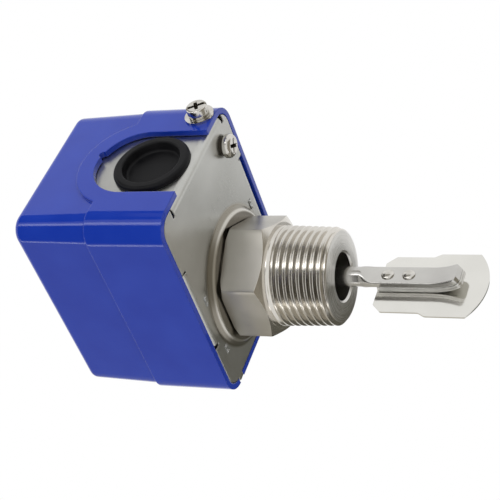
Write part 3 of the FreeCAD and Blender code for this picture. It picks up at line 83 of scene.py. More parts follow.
# Fitting: levels are heights above the thread's start, and the end face is a list of radius and level.
# Phases are shares of the pitch from a crest. A rounded corner of the hexagon loses ROUND_TAKES of its radius
SEGMENTS = 192
THREAD_PITCH = 25.4 / 11
THREAD_TURNS = 11
THREAD_DEPTH = 1.30
THREAD_CREST = 16.6
THREAD_TAPER = 1 / 32
THREAD_RUN_OUT = (-0.3, -3.6)
THREAD_CURVE = (0.07, 0.43)
THREAD_CURVE_SHARE = 0.45
THREAD_FLANK_START = 0.10
THREAD_FLANK_WIDTH = 0.30
THREAD_PHASES = [0.0, 0.06, 0.10, 0.14, 0.20, 0.28, 0.35, 0.40, 0.44, 0.50]
THREAD_END_RADIUS = 14.9
THREAD_END_SLOPE = 1.15
END_LEVEL = -20.5
END_FACE = [(14.9, END_LEVEL), (14.2, -20.67), (13.2, -20.83), (12.0, -20.95), (10.5, -21.05)]
BORE_MOUTH = (8.45, -21.1)
BORE_RADIUS = 7.85
NECK_RADIUS = 12.0
NECK_TOP = 22.0
HEX_FLATS = 36.0
HEX_TOP = 14.5
HEX_CORNER_ROUND = 0.7
ROUND_TAKES = 0.155
HEX_CONE = math.tan(math.radians(30))
UPPER_CONE_START = 19.2
LOWER_CONE_START = 17.7
CREVICE_RADIUS = 17.3
CREVICE_LEVEL = 14.05

# Rod and strips, as forged and stamped. The stem is a list of radius and level, and the rivet's upset end
# one of distance behind the vane and radius. POLE is the radius of the last ring of a closed top
ROD_RADIUS = 3.25
ROD_STEM = [(0.05, 42.4), (2.1, 42.4), (2.5, 42.0), (2.5, 37.5), (ROD_RADIUS, 37.5), (ROD_RADIUS, 10.0)]
ROD_ROUND_END = -26.5
FLAT_START = -31.6
FLAT_END = -50.5
FLAT_HALF_WIDTH = 3.75
FLAT_HALF_THICKNESS = 1.1
CURL_RADIUS = 19.0
CURL_ANGLE = math.radians(27)
FLAT_CORNER = 0.45
BAR_CORNER_STEPS = 12
NEARLY_ROUND = 0.999
TIP_CORNER = 1.6
TIP_THINNING = 0.06
STRIP_THICKNESS = 0.86
STRIP_START = -32.9
STRIP_CORNER = 0.18
STRIP_GAP = 0.02
STRIP_INSET = 0.01
RIVET_LEVELS = (-36.2, -43.2)
RIVET_RADIUS = 2.1
RIVET_FOOT = 2.0
RIVET_EDGE = 0.12
RIVET_HEAD = 0.9
RIVET_SHANK = 1.3
POLE = 0.01
UPSET_END = [(RIVET_HEAD, POLE), (RIVET_HEAD, 1.1), (0.4, 1.6), (0.0, 1.68)]

# Screws: the cross's reach is a share of the head's radius, its narrowing and its rise are shares lost at
# the ends of its arms, and the turns are in degrees
CROSS_HALF_WIDTH = 0.55
CROSS_REACH = 0.62
CROSS_DEPTH = 1.65
CROSS_END = 0.45
CROSS_NARROWING = 0.35
CROSS_RISE = 0.30
CROSS_WALL = 0.15
SLOT_HALF_WIDTH = 0.5
SLOT_DEPTH = 1.1
SLOT_WALL = 0.12
RECESS_START = 0.3
HEAD_FOOT = 0.15
SCREW_SEGMENTS = 144
COVER_SCREW = {"head_radius": 3.5, "head_height": 2.5, "shank_radius": 2.0, "length": 8.5, "edge": 0.7}
COVER_SCREW_TURN = 28
EARTH_SCREW = {"head_radius": 4.0, "head_height": 2.6, "shank_radius": 2.0, "length": 10.0, "edge": 1.6}
EARTH_SCREW_TURN = 57
# Surfaces of the screws: plated steel, and dark steel for painted shade in the recesses
SCREW_SURFACES = ["screw_nickel", "painted_shade_steel"]

# Spring washer: its section is a list of radius and height
WASHER_SECTION = ((2.15, -0.42), (3.3, -0.42), (3.4, -0.32), (3.4, 0.32), (3.3, 0.42), (2.15, 0.42))
WASHER_HALF_HEIGHT = 0.5
WASHER_GAP = math.radians(7)
WASHER_LIFT = 0.35

# Stakes at the bracket's four tabs, two punched dots at each
TAB_X = 11
TAB_Y = 23
STAKE_STEP = 1.15
STAKE_LEVEL = 16.55
STAKE_RADIUS = 0.7
STAKE_HEIGHT = 0.55

# Rings of painted light on the plate round the hexagon: painted shade on the boss's slope, a painted
# highlight on its crest, and painted shade on the seat that stands in for the hexagon's dark reflection
# there. Each gives where it starts, where it is full, and its colour
SLOPE_PAINTED_SHADE = (24.6, 23.6, (0.27, 0.25, 0.21))
CREST_PAINTED_HIGHLIGHT = (22.5, 22.1, (0.56, 0.54, 0.49))
SEAT_PAINTED_SHADE = (21.6, 21.2, (0.22, 0.20, 0.165))

# Spring and bellows. The split is the share of the spring's length in its lower part
SPRING_WIRE = 0.45
SPRING_TURNS = 5
SPRING_SPLIT = 0.7
BELLOWS_FOLDS = 5
BELLOWS_ROOT = 6.0
BELLOWS_WALL = 0.4

# Lamps: azimuth, rise, width, height, radiance and whether mirror finishes show the lamp
LAMPS = {
    "window": (25, 25, 0.15, 1.0, 3.0, True),
    "low_window": (-77, 25, 0.06, 1.0, 3.5, True),
    "sky": (100, 35, 0.8, 0.8, 1.3, False),
}

# Cards that mirror finishes show: azimuth, rise, width, height and colour
CARDS = {
    "camera_side": (-28, 38, 1.5, 0.8, (0.06, 0.053, 0.04)),
    "door_edge": (13, 25, 0.09, 1.6, (0.02, 0.02, 0.02)),
    "dark_shelf": (66, 20, 0.30, 1.0, (0.42, 0.40, 0.36)),
    "beam": (65, 41, 0.70, 0.54, (0.06, 0.055, 0.05)),
    "table_side": (-103, 20, 1.1, 1.2, (0.66, 0.63, 0.56)),
    "far_table": (-154, -21, 0.95, 1.05, (0.13, 0.125, 0.10)),
    "below": (0, -84, 1.5, 1.5, (0.36, 0.33, 0.27)),
}


def blend_step(low, high, value):
    """0 below low, 1 above high, and an S-curve between them."""
    share = min(max((value - low) / (high - low), 0.0), 1.0)
    return share * share * (3 - 2 * share)


# Node trees


def add_node(tree, kind, settings=None, **inputs):
    """A shader node with its settings, and with its inputs set or linked by name."""
    node = tree.nodes.new(kind)
    for name, value in (settings or {}).items():
        setattr(node, name, value)
    for name, value in inputs.items():
        socket = node.inputs[int(name[1:]) if name[1:].isdigit() else name.replace("_", " ")]
        if isinstance(value, bpy.types.NodeSocket):
            tree.links.new(value, socket)
        else:
            socket.default_value = value
    return node


def new_material(name, colour, metallic, roughness, **sockets):
    """A Principled material whose plain numbers sit on the shader's own sockets."""
    material = bpy.data.materials.new(name)
    material.use_nodes = True
    shader = material.node_tree.nodes["Principled BSDF"]
    shader.inputs["Base Color"].default_value = (*colour, 1.0)
    shader.inputs["Metallic"].default_value = metallic
    shader.inputs["Roughness"].default_value = roughness
    for socket, value in sockets.items():
        shader.inputs[socket.replace("_", " ")].default_value = value
    return material, material.node_tree, shader


def place_noise(tree, stretch, detail=3.0, roughness=0.55):
    """Noise in the part's own space, stretched by the three scales, each in cycles to a metre."""
    place = add_node(tree, "ShaderNodeTexCoord").outputs["Object"]
    mapped = add_node(tree, "ShaderNodeMapping", Vector=place, Scale=stretch).outputs["Vector"]
    noise = add_node(tree, "ShaderNodeTexNoise", Vector=mapped, Scale=1.0, Detail=detail, Roughness=roughness)
    return noise.outputs["Fac"]


def spread(tree, value, low, high, to_low, to_high):
    """A field carried from one range to another, and held at its ends."""
    node = add_node(tree, "ShaderNodeMapRange", _0=value, _1=low, _2=high, _3=to_low, _4=to_high)
    return node.outputs["Result"]


def vary_roughness(tree, shader, value, low, high):
    """Roughness between two numbers, chosen by a noise."""
    tree.links.new(spread(tree, value, *NOISE_RANGE, low, high), shader.inputs["Roughness"])


def vary_colour(tree, shader, value, dark, light):
    """Colour between a dark and a light one, chosen by a noise."""
    share = spread(tree, value, *NOISE_RANGE, 0, 1)
    mixed = add_node(tree, "ShaderNodeMix", {"data_type": "RGBA"}, _0=share)
    mixed.inputs[MIX_FIRST].default_value = (*dark, 1.0)
    mixed.inputs[MIX_SECOND].default_value = (*light, 1.0)
    tree.links.new(mixed.outputs[MIX_RESULT], shader.inputs["Base Color"])


def add_bump(tree, shader, height, strength, distance, edge=0.0):
    """Fine relief, over edges that the shading rounds by the given radius."""
    bump = add_node(tree, "ShaderNodeBump", Height=height, Strength=strength, Distance=distance * MM)
    if edge:
        soft = add_node(tree, "ShaderNodeBevel", {"samples": 6}, Radius=edge * MM)
        tree.links.new(soft.outputs["Normal"], bump.inputs["Normal"])
    tree.links.new(bump.outputs["Normal"], shader.inputs["Normal"])


def sum_of(tree, one, two, share):
    """One field plus a share of another."""
    scaled = add_node(tree, "ShaderNodeMath", {"operation": "MULTIPLY"}, _0=two, _1=share)
    return add_node(tree, "ShaderNodeMath", {"operation": "ADD"}, _0=one, _1=scaled.outputs[0]).outputs[0]


# Materials


def blue_plastic():
    """Glossy injection-moulded plastic: a fine orange peel, and gloss that drifts a little."""
    material, tree, shader = new_material(
        "blue_plastic", (0.010, 0.044, 0.40), 0.0, 0.3, IOR=1.5, Specular_IOR_Level=0.42
    )
    grain = place_noise(tree, (900, 900, 900), detail=2)
    patches = place_noise(tree, (60, 60, 60), detail=2)
    vary_roughness(tree, shader, patches, 0.07, 0.12)
    vary_colour(tree, shader, patches, (0.007, 0.036, 0.380), (0.011, 0.046, 0.420))
    add_bump(tree, shader, grain, 0.05, COARSE_RELIEF, edge=0.55)
    return material


def worked_steel(name, dark, light, gloss, stretch, strength, edge):
    """Metal with fine tool lines: the stretch is short along the lines and long across them."""
    material, tree, shader = new_material(name, light, 1.0, gloss[0])
    lines = place_noise(tree, stretch, detail=4, roughness=0.7)
    clouds = place_noise(tree, (45, 45, 45), detail=3)
    field = sum_of(tree, lines, clouds, 0.5)
    vary_roughness(tree, shader, spread(tree, field, *SUM_RANGE, *NOISE_RANGE), *gloss)
    vary_colour(tree, shader, clouds, dark, light)
    add_bump(tree, shader, lines, strength, FINE_RELIEF, edge)
    return material


def reach_from_axis(tree):
    """Distance from the thread's axis, in metres."""
    place = add_node(tree, "ShaderNodeTexCoord").outputs["Object"]
    parts = add_node(tree, "ShaderNodeSeparateXYZ", Vector=place)
    flat = add_node(tree, "ShaderNodeCombineXYZ", X=parts.outputs["X"], Y=parts.outputs["Y"])
    length = add_node(tree, "ShaderNodeVectorMath", {"operation": "LENGTH"}, _0=flat.outputs[0])
    return length.outputs["Value"]


def stamped_plate():
    """Sheet steel, with painted shade on the boss's slope, a painted highlight on its crest and painted shade
    on the seat round the hexagon.
    """
    material = worked_steel(
        "plate_steel", (0.45, 0.45, 0.425), (0.55, 0.55, 0.525), (0.24, 0.36), (120, 2600, 2600), 0.10, 0.5
    )
    tree = material.node_tree
    shader = tree.nodes["Principled BSDF"]
    reach = reach_from_axis(tree)
    # Painted shade and a painted highlight, mixed over the plate's colour by distance from the axis
    for outer, inner, colour in (SLOPE_PAINTED_SHADE, CREST_PAINTED_HIGHLIGHT, SEAT_PAINTED_SHADE):
        plate_colour = shader.inputs["Base Color"].links[0].from_socket
        share = spread(tree, reach, inner * MM, outer * MM, 1.0, 0.0)
        painted_ring = add_node(tree, "ShaderNodeMix", {"data_type": "RGBA"}, _0=share)
        tree.links.new(plate_colour, painted_ring.inputs[MIX_FIRST])
        painted_ring.inputs[MIX_SECOND].default_value = (*colour, 1.0)
        tree.links.new(painted_ring.outputs[MIX_RESULT], shader.inputs["Base Color"])
    return material


def turned_face():
    """End face with the concentric marks of the lathe."""
    material, tree, shader = new_material("turned_face", (0.60, 0.59, 0.56), 1.0, 0.3, Anisotropic=0.65)
    reach = reach_from_axis(tree)
    kind = {"noise_dimensions": "1D"}
    noise = add_node(tree, "ShaderNodeTexNoise", kind, W=reach, Scale=3200.0, Detail=3.0)
    marks = noise.outputs["Fac"]
    clouds = place_noise(tree, (90, 90, 90), detail=3)
    vary_roughness(tree, shader, marks, 0.25, 0.34)
    vary_colour(tree, shader, clouds, (0.55, 0.54, 0.51), (0.67, 0.66, 0.63))
    add_bump(tree, shader, marks, 0.11, FINE_RELIEF, edge=0.3)
    round_z = add_node(tree, "ShaderNodeTangent", {"direction_type": "RADIAL", "axis": "Z"})
    tree.links.new(round_z.outputs["Tangent"], shader.inputs["Tangent"])
    return material


def black_rubber():
    """Matt moulded rubber with a fine grain and a little dust."""
    material, tree, shader = new_material(
        "black_rubber", (0.005, 0.005, 0.006), 0.0, 0.5, Specular_IOR_Level=0.12
    )
    grain = place_noise(tree, (1600, 1600, 1600), detail=3)
    dust = place_noise(tree, (140, 140, 140), detail=4)
    vary_roughness(tree, shader, dust, 0.36, 0.56)
    vary_colour(tree, shader, dust, (0.005, 0.005, 0.006), (0.012, 0.012, 0.013))
    add_bump(tree, shader, grain, 0.2, COARSE_RELIEF)
    return material


def bright_nickel():
    """Bright plating of the outer screws, with fine pits."""
    material, tree, shader = new_material("bright_nickel", (0.66, 0.64, 0.60), 1.0, 0.16)
    pits = place_noise(tree, (1500, 1500, 1500), detail=3)
    clouds = place_noise(tree, (400, 400, 400), detail=2)
    vary_roughness(tree, shader, clouds, 0.12, 0.24)
    vary_colour(tree, shader, clouds, (0.52, 0.50, 0.46), (0.68, 0.66, 0.62))
    add_bump(tree, shader, pits, 0.12, FINE_RELIEF)
    return material


def plain_metal(name, dark, light, gloss):
    """Plated or raw metal of the hidden pieces."""
    material, tree, shader = new_material(name, light, 1.0, gloss[0])
    clouds = place_noise(tree, (260, 260, 260), detail=4)
    vary_roughness(tree, shader, clouds, *gloss)
    vary_colour(tree, shader, clouds, dark, light)
    add_bump(tree, shader, place_noise(tree, (1400, 1400, 1400)), 0.15, FINE_RELIEF)
    return material


def moulded(name, dark, light, gloss):
    """Matte moulded plastic or pressed card of the hidden pieces."""
    material, tree, shader = new_material(name, light, 0.0, gloss[0])
    clouds = place_noise(tree, (220, 220, 220), detail=4)
    vary_roughness(tree, shader, clouds, *gloss)
    vary_colour(tree, shader, clouds, dark, light)
    add_bump(tree, shader, place_noise(tree, (2200, 2200, 2200)), 0.2, COARSE_RELIEF)
    return material


MATERIALS = {
    "cover_blue": blue_plastic(),
    "plate_steel": stamped_plate(),
    "fitting_steel": worked_steel(
        "thread_steel", (0.54, 0.515, 0.47), (0.74, 0.71, 0.655), (0.15, 0.27), (60, 60, 5200), 0.10, 0.0
    ),
    "hex_steel": worked_steel(
        "milled_steel", (0.34, 0.325, 0.285), (0.47, 0.45, 0.41), (0.24, 0.40), (2400, 2400, 90), 0.24, 0.3
    ),
    "face_steel": turned_face(),
    # Dark steel that paints shade: in the crevice under the hexagon, in the screws' recesses and on the earth
    # washer
    "painted_shade_steel": plain_metal("painted_shade_steel", (0.045, 0.038, 0.030), (0.10, 0.088, 0.070), (0.45, 0.60)),
    "grommet_rubber": black_rubber(),
    "screw_nickel": bright_nickel(),
    "rod_steel": worked_steel(
        "rod_steel", (0.50, 0.49, 0.47), (0.62, 0.61, 0.58), (0.16, 0.26), (700, 700, 60), 0.03, 0.0
    ),
    "vane_steel": worked_steel(
        "vane_steel", (0.70, 0.69, 0.65), (0.76, 0.75, 0.71), (0.09, 0.16), (1800, 1800, 50), 0.05, 0.0
    ),
    "leaf_steel": plain_metal("leaf_steel", (0.66, 0.65, 0.62), (0.78, 0.77, 0.74), (0.34, 0.46)),
    "brass": plain_metal("brass", (0.50, 0.34, 0.13), (0.66, 0.48, 0.21), (0.22, 0.36)),
    "bracket_zinc": plain_metal("zinc_plate", (0.42, 0.43, 0.43), (0.60, 0.61, 0.60), (0.28, 0.42)),
    "switch_black": moulded("switch_black", (0.012, 0.012, 0.013), (0.024, 0.024, 0.026), (0.42, 0.56)),
    "insulator_card": moulded("pressed_card", (0.13, 0.045, 0.02), (0.19, 0.07, 0.03), (0.5, 0.7)),
    "plunger_red": moulded("plunger_red", (0.30, 0.012, 0.010), (0.38, 0.02, 0.015), (0.35, 0.45)),
}

# Painted shadow: the earth washer takes dark steel where the screw head shades it
PAINTED_SHADE_NODES = {"earth_washer": "painted_shade_steel"}


# Mesh helpers


def new_piece(name, mesh, body, slot, replaced=(), materials=None, smooth_angle=35):
    """Puts a finished mesh into the scene, riding on its body when one is given."""
    piece = bpy.data.objects.new(name, mesh)
    bpy.context.scene.collection.objects.link(piece)
    for key in materials or [slot]:
        mesh.materials.append(MATERIALS[key])
    for face in mesh.polygons:
        face.use_smooth = True
    mesh.set_sharp_from_angle(angle=math.radians(smooth_angle))
    weigh = piece.modifiers.new("even_shading", "WEIGHTED_NORMAL")
    weigh.keep_sharp = True
    if body:
        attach(piece, body)
    if replaced:
        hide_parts(*replaced)
    return piece


def mesh_from(name, points, faces):
    """A mesh from points in millimetres, with points that coincide joined and normals outward."""
    mesh = bpy.data.meshes.new(name)
    mesh.from_pydata([Vector(point) * MM for point in points], [], faces)
    form = bmesh.new()
    form.from_mesh(mesh)
    bmesh.ops.remove_doubles(form, verts=form.verts, dist=WELD_DISTANCE * MM)
    bmesh.ops.dissolve_degenerate(form, edges=form.edges, dist=WELD_DISTANCE * MM)
    bmesh.ops.recalc_face_normals(form, faces=form.faces)
    form.to_mesh(mesh)
    form.free()
    mesh.validate()
    return mesh


def ring_faces(start, other, count):
    """Faces between two rings of points, given by the numbers of their first points."""
    return [(start + i, start + (i + 1) % count, other + (i + 1) % count, other + i) for i in range(count)]


def skin(rings, ends="capped"):
    """Points and faces of a tube through rings of equal counts: capped, closed on itself or open."""
    count = len(rings[0])
    points = [point for ring in rings for point in ring]
    faces = []
    for i in range(len(rings) - 1):
        faces += ring_faces(i * count, (i + 1) * count, count)
    if ends == "capped":
        faces.append(tuple(range(count))[::-1])
        faces.append(tuple(range(len(points) - count, len(points))))
    elif ends == "closed":
        faces += ring_faces(len(points) - count, 0, count)
    return points, faces


def add_skin(points, faces, rings, ends="capped"):
    """Adds the skin of more rings to lists of points and faces."""
    more_points, more_faces = skin(rings, ends)
    faces += [tuple(len(points) + corner for corner in face) for face in more_faces]
    points += more_points


def turned_ring(radius, level, count=SEGMENTS):
    """A round ring about Z. The radius and the level are numbers or functions of the angle."""
    ring = []
    for i in range(count):
        angle = 2 * math.pi * i / count
        r = radius(angle) if callable(radius) else radius
        z = level(angle) if callable(level) else level
        ring.append((r * math.cos(angle), r * math.sin(angle), z))
    return ring


# Threaded fitting


def hex_radius(angle):
    """Distance from the axis to the hexagon, whose corners lie on X and are slightly rounded."""
    off_flat = (angle % (math.pi / 3)) - math.pi / 6
    flat = HEX_FLATS / 2 / math.cos(off_flat)
    corner = HEX_FLATS / 2 / math.cos(math.pi / 6) - HEX_CORNER_ROUND * ROUND_TAKES
    return min(flat, corner)


def hex_end(level, inward, cone_start):
    """Height of the hexagon's edge where a turned cone bevels its corners."""
    return lambda angle: level + inward * max(hex_radius(angle) - cone_start, 0.0) * HEX_CONE


def thread_radius(phase, level):
    """Radius of the thread at a phase of the pitch, where 0 is a crest and 0.5 a root, and at a height."""
    off_crest = min(phase % 1, 1 - phase % 1)
    curved = blend_step(*THREAD_CURVE, off_crest)
    straight = min(max((off_crest - THREAD_FLANK_START) / THREAD_FLANK_WIDTH, 0.0), 1.0)
    shape = THREAD_CURVE_SHARE * curved + (1 - THREAD_CURVE_SHARE) * straight
    depth = THREAD_DEPTH * blend_step(*THREAD_RUN_OUT, level)
    thread = THREAD_CREST + level * THREAD_TAPER - depth * shape
    bevel = THREAD_END_RADIUS + (level - END_LEVEL) * THREAD_END_SLOPE
    return min(thread, bevel)


def thread_rows():
    """The helical skin between the hexagon and the bevelled end, column by column."""
    phases = THREAD_PHASES + [1 - phase for phase in reversed(THREAD_PHASES[1:-1])]
    rows = []
    for turn_number in range(THREAD_TURNS):
        for phase in phases:
            ring = []
            for i in range(SEGMENTS):
                share = i / SEGMENTS
                level = THREAD_PITCH * (1 - turn_number - phase - share)
                level = min(max(level, END_LEVEL), 0.0)
                here = (-level / THREAD_PITCH + 1 - share) % 1
                radius = thread_radius(here, level)
                angle = -2 * math.pi * share
                ring.append((radius * math.cos(angle), radius * math.sin(angle), level))
            rows.append(ring)
    return rows, len(phases)


def make_fitting():
    """Thread, hexagon, neck and bore in one closed skin."""
    rows, per_turn = thread_rows()
    points = [point for row in rows for point in row]
    faces = []
    for i in range(len(rows) - 1):
        for j in range(SEGMENTS):
            one, two = i * SEGMENTS + j, (i + 1) * SEGMENTS + j
            if j + 1 < SEGMENTS:
                faces.append((one, two, two + 1, one + 1))
            elif i + per_turn + 1 < len(rows):
                over = (i + per_turn) * SEGMENTS
                faces.append((one, two, over + SEGMENTS, over))
    rings = [
        *[turned_ring(radius, level) for radius, level in END_FACE],
        turned_ring(*BORE_MOUTH),
        turned_ring(BORE_RADIUS, END_LEVEL),
        turned_ring(BORE_RADIUS, NECK_TOP),
        turned_ring(NECK_RADIUS, NECK_TOP),
        turned_ring(NECK_RADIUS, HEX_TOP),
        turned_ring(CREVICE_RADIUS, HEX_TOP),
        turned_ring(CREVICE_RADIUS, CREVICE_LEVEL),
        turned_ring(hex_radius, hex_end(CREVICE_LEVEL, -1, UPPER_CONE_START)),
        turned_ring(hex_radius, hex_end(0.0, 1, LOWER_CONE_START)),
        turned_ring(LOWER_CONE_START, 0.0),
        turned_ring(THREAD_CREST, 0.0),
    ]
    add_skin(points, faces, rings, "open")
    mesh = mesh_from("threaded_fitting", points, faces)
    surfaces = ["fitting_steel", "hex_steel", "face_steel", "painted_shade_steel"]
    new_piece("threaded_fitting", mesh, HOUSING, "fitting_steel", ["fitting"], surfaces, 28)
    for face in mesh.polygons:
        upright = abs(face.normal.z) < 0.5
        if upright and face.center.z > 0.0 and face.center.xy.length > (NECK_RADIUS + 0.5) * MM:
            face.material_index = surfaces.index("hex_steel")
        elif face.center.z < END_LEVEL * MM and abs(face.normal.z) > 0.5:
            face.material_index = surfaces.index("face_steel")
        # Painted shade: the crevice under the hexagon takes dark steel
        elif CREVICE_LEVEL * MM < face.center.z < HEX_TOP * MM:
            face.material_index = surfaces.index("painted_shade_steel")


# Forged rod and leaf strips


def bar_ring(centre, along, half_thick, half_wide, corner):
    """Cross-section of a bar: a rectangle whose four corners are arcs of the given radius."""
    across = Vector((along.z, 0, -along.x))
    ring = []
    for quarter in range(4):
        turn = quarter * math.pi / 2
        side_x = 1 if quarter in (0, 3) else -1
        side_y = 1 if quarter in (0, 1) else -1
        for i in range(BAR_CORNER_STEPS):
            angle = turn + (i + 0.5) / BAR_CORNER_STEPS * math.pi / 2
            thick = side_x * (half_thick - corner) + corner * math.cos(angle)
            wide = side_y * (half_wide - corner) + corner * math.sin(angle)
            ring.append(tuple(centre + across * thick + Vector((0, wide, 0))))
    return ring


def curl_place(front, distance):
    """Middle line of a curled bar: straight down to the bend, then round towards +X."""
    centre = FLAT_HALF_THICKNESS + CURL_RADIUS
    radius = centre - front
    angle = max(distance, 0.0) / radius
    if distance <= 0:
        return Vector((front, 0, FLAT_END - distance)), Vector((0, 0, -1))
    place = Vector((centre - radius * math.cos(angle), 0, FLAT_END - radius * math.sin(angle)))
    return place, Vector((math.sin(angle), 0, -math.cos(angle)))


def curled_rings(front, start, half_thick, half_wide, corner):
    """Rings of a bar from the start level to the curled tip, whose corners are rounded in plan."""
    length = (FLAT_HALF_THICKNESS + CURL_RADIUS - front) * CURL_ANGLE
    tip_start = length - TIP_CORNER
    straight = start - FLAT_END
    stations = [straight * (i / 10 - 1) for i in range(10)]
    stations += [tip_start * i / 12 for i in range(12)]
    stations += [tip_start + TIP_CORNER * math.sin(math.pi / 2 * i / 10) for i in range(11)]
    rings = []
    for distance in stations:
        into_tip = max(distance - tip_start, 0.0) / TIP_CORNER
        narrow = TIP_CORNER * (1 - math.sqrt(max(1 - into_tip * into_tip, 0.0)))
        thick = half_thick - TIP_THINNING * into_tip
        edge = corner * (1 - 0.5 * into_tip)
        place, along = curl_place(front, distance)
        rings.append(bar_ring(place, along, thick, half_wide - narrow, edge))
    return rings


def make_rod():
    """Round stem, forged flat below the fitting, with the curled flat at its end."""
    down = Vector((0, 0, -1))
    rings = []
    for radius, level in ROD_STEM:
        rings.append(bar_ring(Vector((0, 0, level)), down, radius, radius, radius * NEARLY_ROUND))
    steps = 24
    for i in range(steps + 1):
        level = ROD_ROUND_END + (FLAT_START - ROD_ROUND_END) * i / steps
        share = blend_step(ROD_ROUND_END - 0.5, FLAT_START, level)
        thick = ROD_RADIUS + (FLAT_HALF_THICKNESS - ROD_RADIUS) * share
        wide = ROD_RADIUS + (FLAT_HALF_WIDTH - ROD_RADIUS) * share
        corner = ROD_RADIUS + (FLAT_CORNER - ROD_RADIUS) * share ** 0.7
        corner = min(corner, thick * NEARLY_ROUND)
        rings.append(bar_ring(Vector((0, 0, level)), down, thick, wide, corner))
    below_forging = FLAT_START - 1.0
    rings += curled_rings(0.0, below_forging, FLAT_HALF_THICKNESS, FLAT_HALF_WIDTH, FLAT_CORNER)
    points, faces = skin(rings)
    new_piece("forged_rod", mesh_from("forged_rod", points, faces), PADDLE, "rod_steel", ["paddle_rod"])


def make_strip(name, node, number):
    """One of the leaf strips behind the flat, counted from the flat."""
    front = -FLAT_HALF_THICKNESS - STRIP_GAP - STRIP_THICKNESS * (number + 0.5)
    half_thick = STRIP_THICKNESS / 2 - STRIP_INSET
    rings = curled_rings(front, STRIP_START, half_thick, FLAT_HALF_WIDTH, STRIP_CORNER)
    points, faces = skin(rings)
    new_piece(name, mesh_from(name, points, faces), PADDLE, "vane_steel", [node], ["leaf_steel"])


def cap_rings(radius, height, steps, count):
    """Rings of a domed cap about Z, from its foot to its crown."""
    rings = []
    for i in range(steps):
        angle = math.pi / 2 * i / steps
        rings.append(turned_ring(radius * math.cos(angle), height * math.sin(angle) ** 0.8, count))
    rings.append(turned_ring(POLE, height, count))
    return rings


def make_rivets():
    """Domed heads in front of the flat, shanks through the stack and upset ends behind the vane."""
    low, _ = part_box("paddle_rivets")
    front, back = FLAT_HALF_THICKNESS, low.x / MM + RIVET_HEAD
    points, faces = [], []
    for level in RIVET_LEVELS:
        profile = [(back - behind, radius) for behind, radius in UPSET_END]
        profile += [(back, RIVET_SHANK), (front, RIVET_SHANK), (front, RIVET_FOOT)]
        profile += [(front + RIVET_EDGE, RIVET_RADIUS)]
        steps = 12
        for i in range(1, steps + 1):
            angle = math.pi / 2 * i / steps
            rise = RIVET_EDGE + (RIVET_HEAD - RIVET_EDGE) * math.sin(angle)
            profile.append((front + rise, max(RIVET_RADIUS * math.cos(angle), POLE)))
        spin = [2 * math.pi * i / 48 for i in range(48)]
        rings = [[(x, r * math.cos(a), level + r * math.sin(a)) for a in spin] for x, r in profile]
        add_skin(points, faces, rings)
    mesh = mesh_from("domed_rivets", points, faces)
    new_piece("domed_rivets", mesh, PADDLE, "rod_steel", ["paddle_rivets"], ["screw_nickel"], 50)


# Screws, stakes and washer


def punched_cross(x, y, reach, depth):
    """Depth of a punched cross recess, with tapered arms that narrow towards their ends."""
    along, across = max(abs(x), abs(y)), min(abs(x), abs(y))
    width = CROSS_HALF_WIDTH * (1 - CROSS_NARROWING * along / reach)
    side = max(1 - (across / (width + CROSS_WALL)) ** 2, 0.0)
    end = 1 - blend_step(reach - CROSS_END, reach, along)
    return depth * side * end * (1 - CROSS_RISE * along / reach)


def cut_slot(x, depth):
    """Depth of a milled screwdriver slot along Y."""
    return depth * (1 - blend_step(SLOT_HALF_WIDTH, SLOT_HALF_WIDTH + SLOT_WALL, abs(x)))


def screw_mesh(name, slotted, head_radius, head_height, shank_radius, length, edge):
    """A pan-head screw with its seat on level 0, made as one closed skin from the tip to the crown."""
    tip = shank_radius * 0.2
    shank = [(POLE, -length), (shank_radius - tip, -length), (shank_radius, tip - length)]
    shank += [(shank_radius, 0.0), (head_radius - HEAD_FOOT, 0.0)]
    rings = [turned_ring(radius, level, SCREW_SEGMENTS) for radius, level in shank]
    inner, shoulder = head_radius - edge, head_height - edge
    head = [(head_radius, HEAD_FOOT), (head_radius, shoulder)]
    for i in range(1, 9):
        angle = math.pi / 2 * i / 8
        head.append((inner + edge * math.cos(angle), shoulder + edge * math.sin(angle)))
    head += [(inner * (1 - i / 30), head_height) for i in range(1, 30)] + [(POLE, head_height)]
    for radius, level in head:
        ring = []
        for x, y, z in turned_ring(radius, level, SCREW_SEGMENTS):
            depth = punched_cross(x, y, CROSS_REACH * head_radius, CROSS_DEPTH)
            if slotted:
                depth = max(depth, cut_slot(x, SLOT_DEPTH))
            ring.append((x, y, max(z - max(depth - (head_height - z), 0.0), HEAD_FOOT)))
        rings.append(ring)
    points, faces = skin(rings)
    mesh = mesh_from(name, points, faces)
    # Painted shade: the walls of the recesses take dark steel
    for face in mesh.polygons:
        middle = face.center / MM
        if HEAD_FOOT + 0.01 < middle.z < head_height - RECESS_START and middle.xy.length < inner:
            face.material_index = SCREW_SURFACES.index("painted_shade_steel")
    return mesh


def place_mesh(mesh, origin, along, turn):
    """Turns a mesh made about Z by an angle, points its Z along a direction and moves it to the origin."""
    aimed = Vector(along).to_track_quat("Z", "Y").to_matrix().to_4x4()
    mesh.transform(Matrix.Translation(origin) @ aimed @ Matrix.Rotation(math.radians(turn), 4, "Z"))


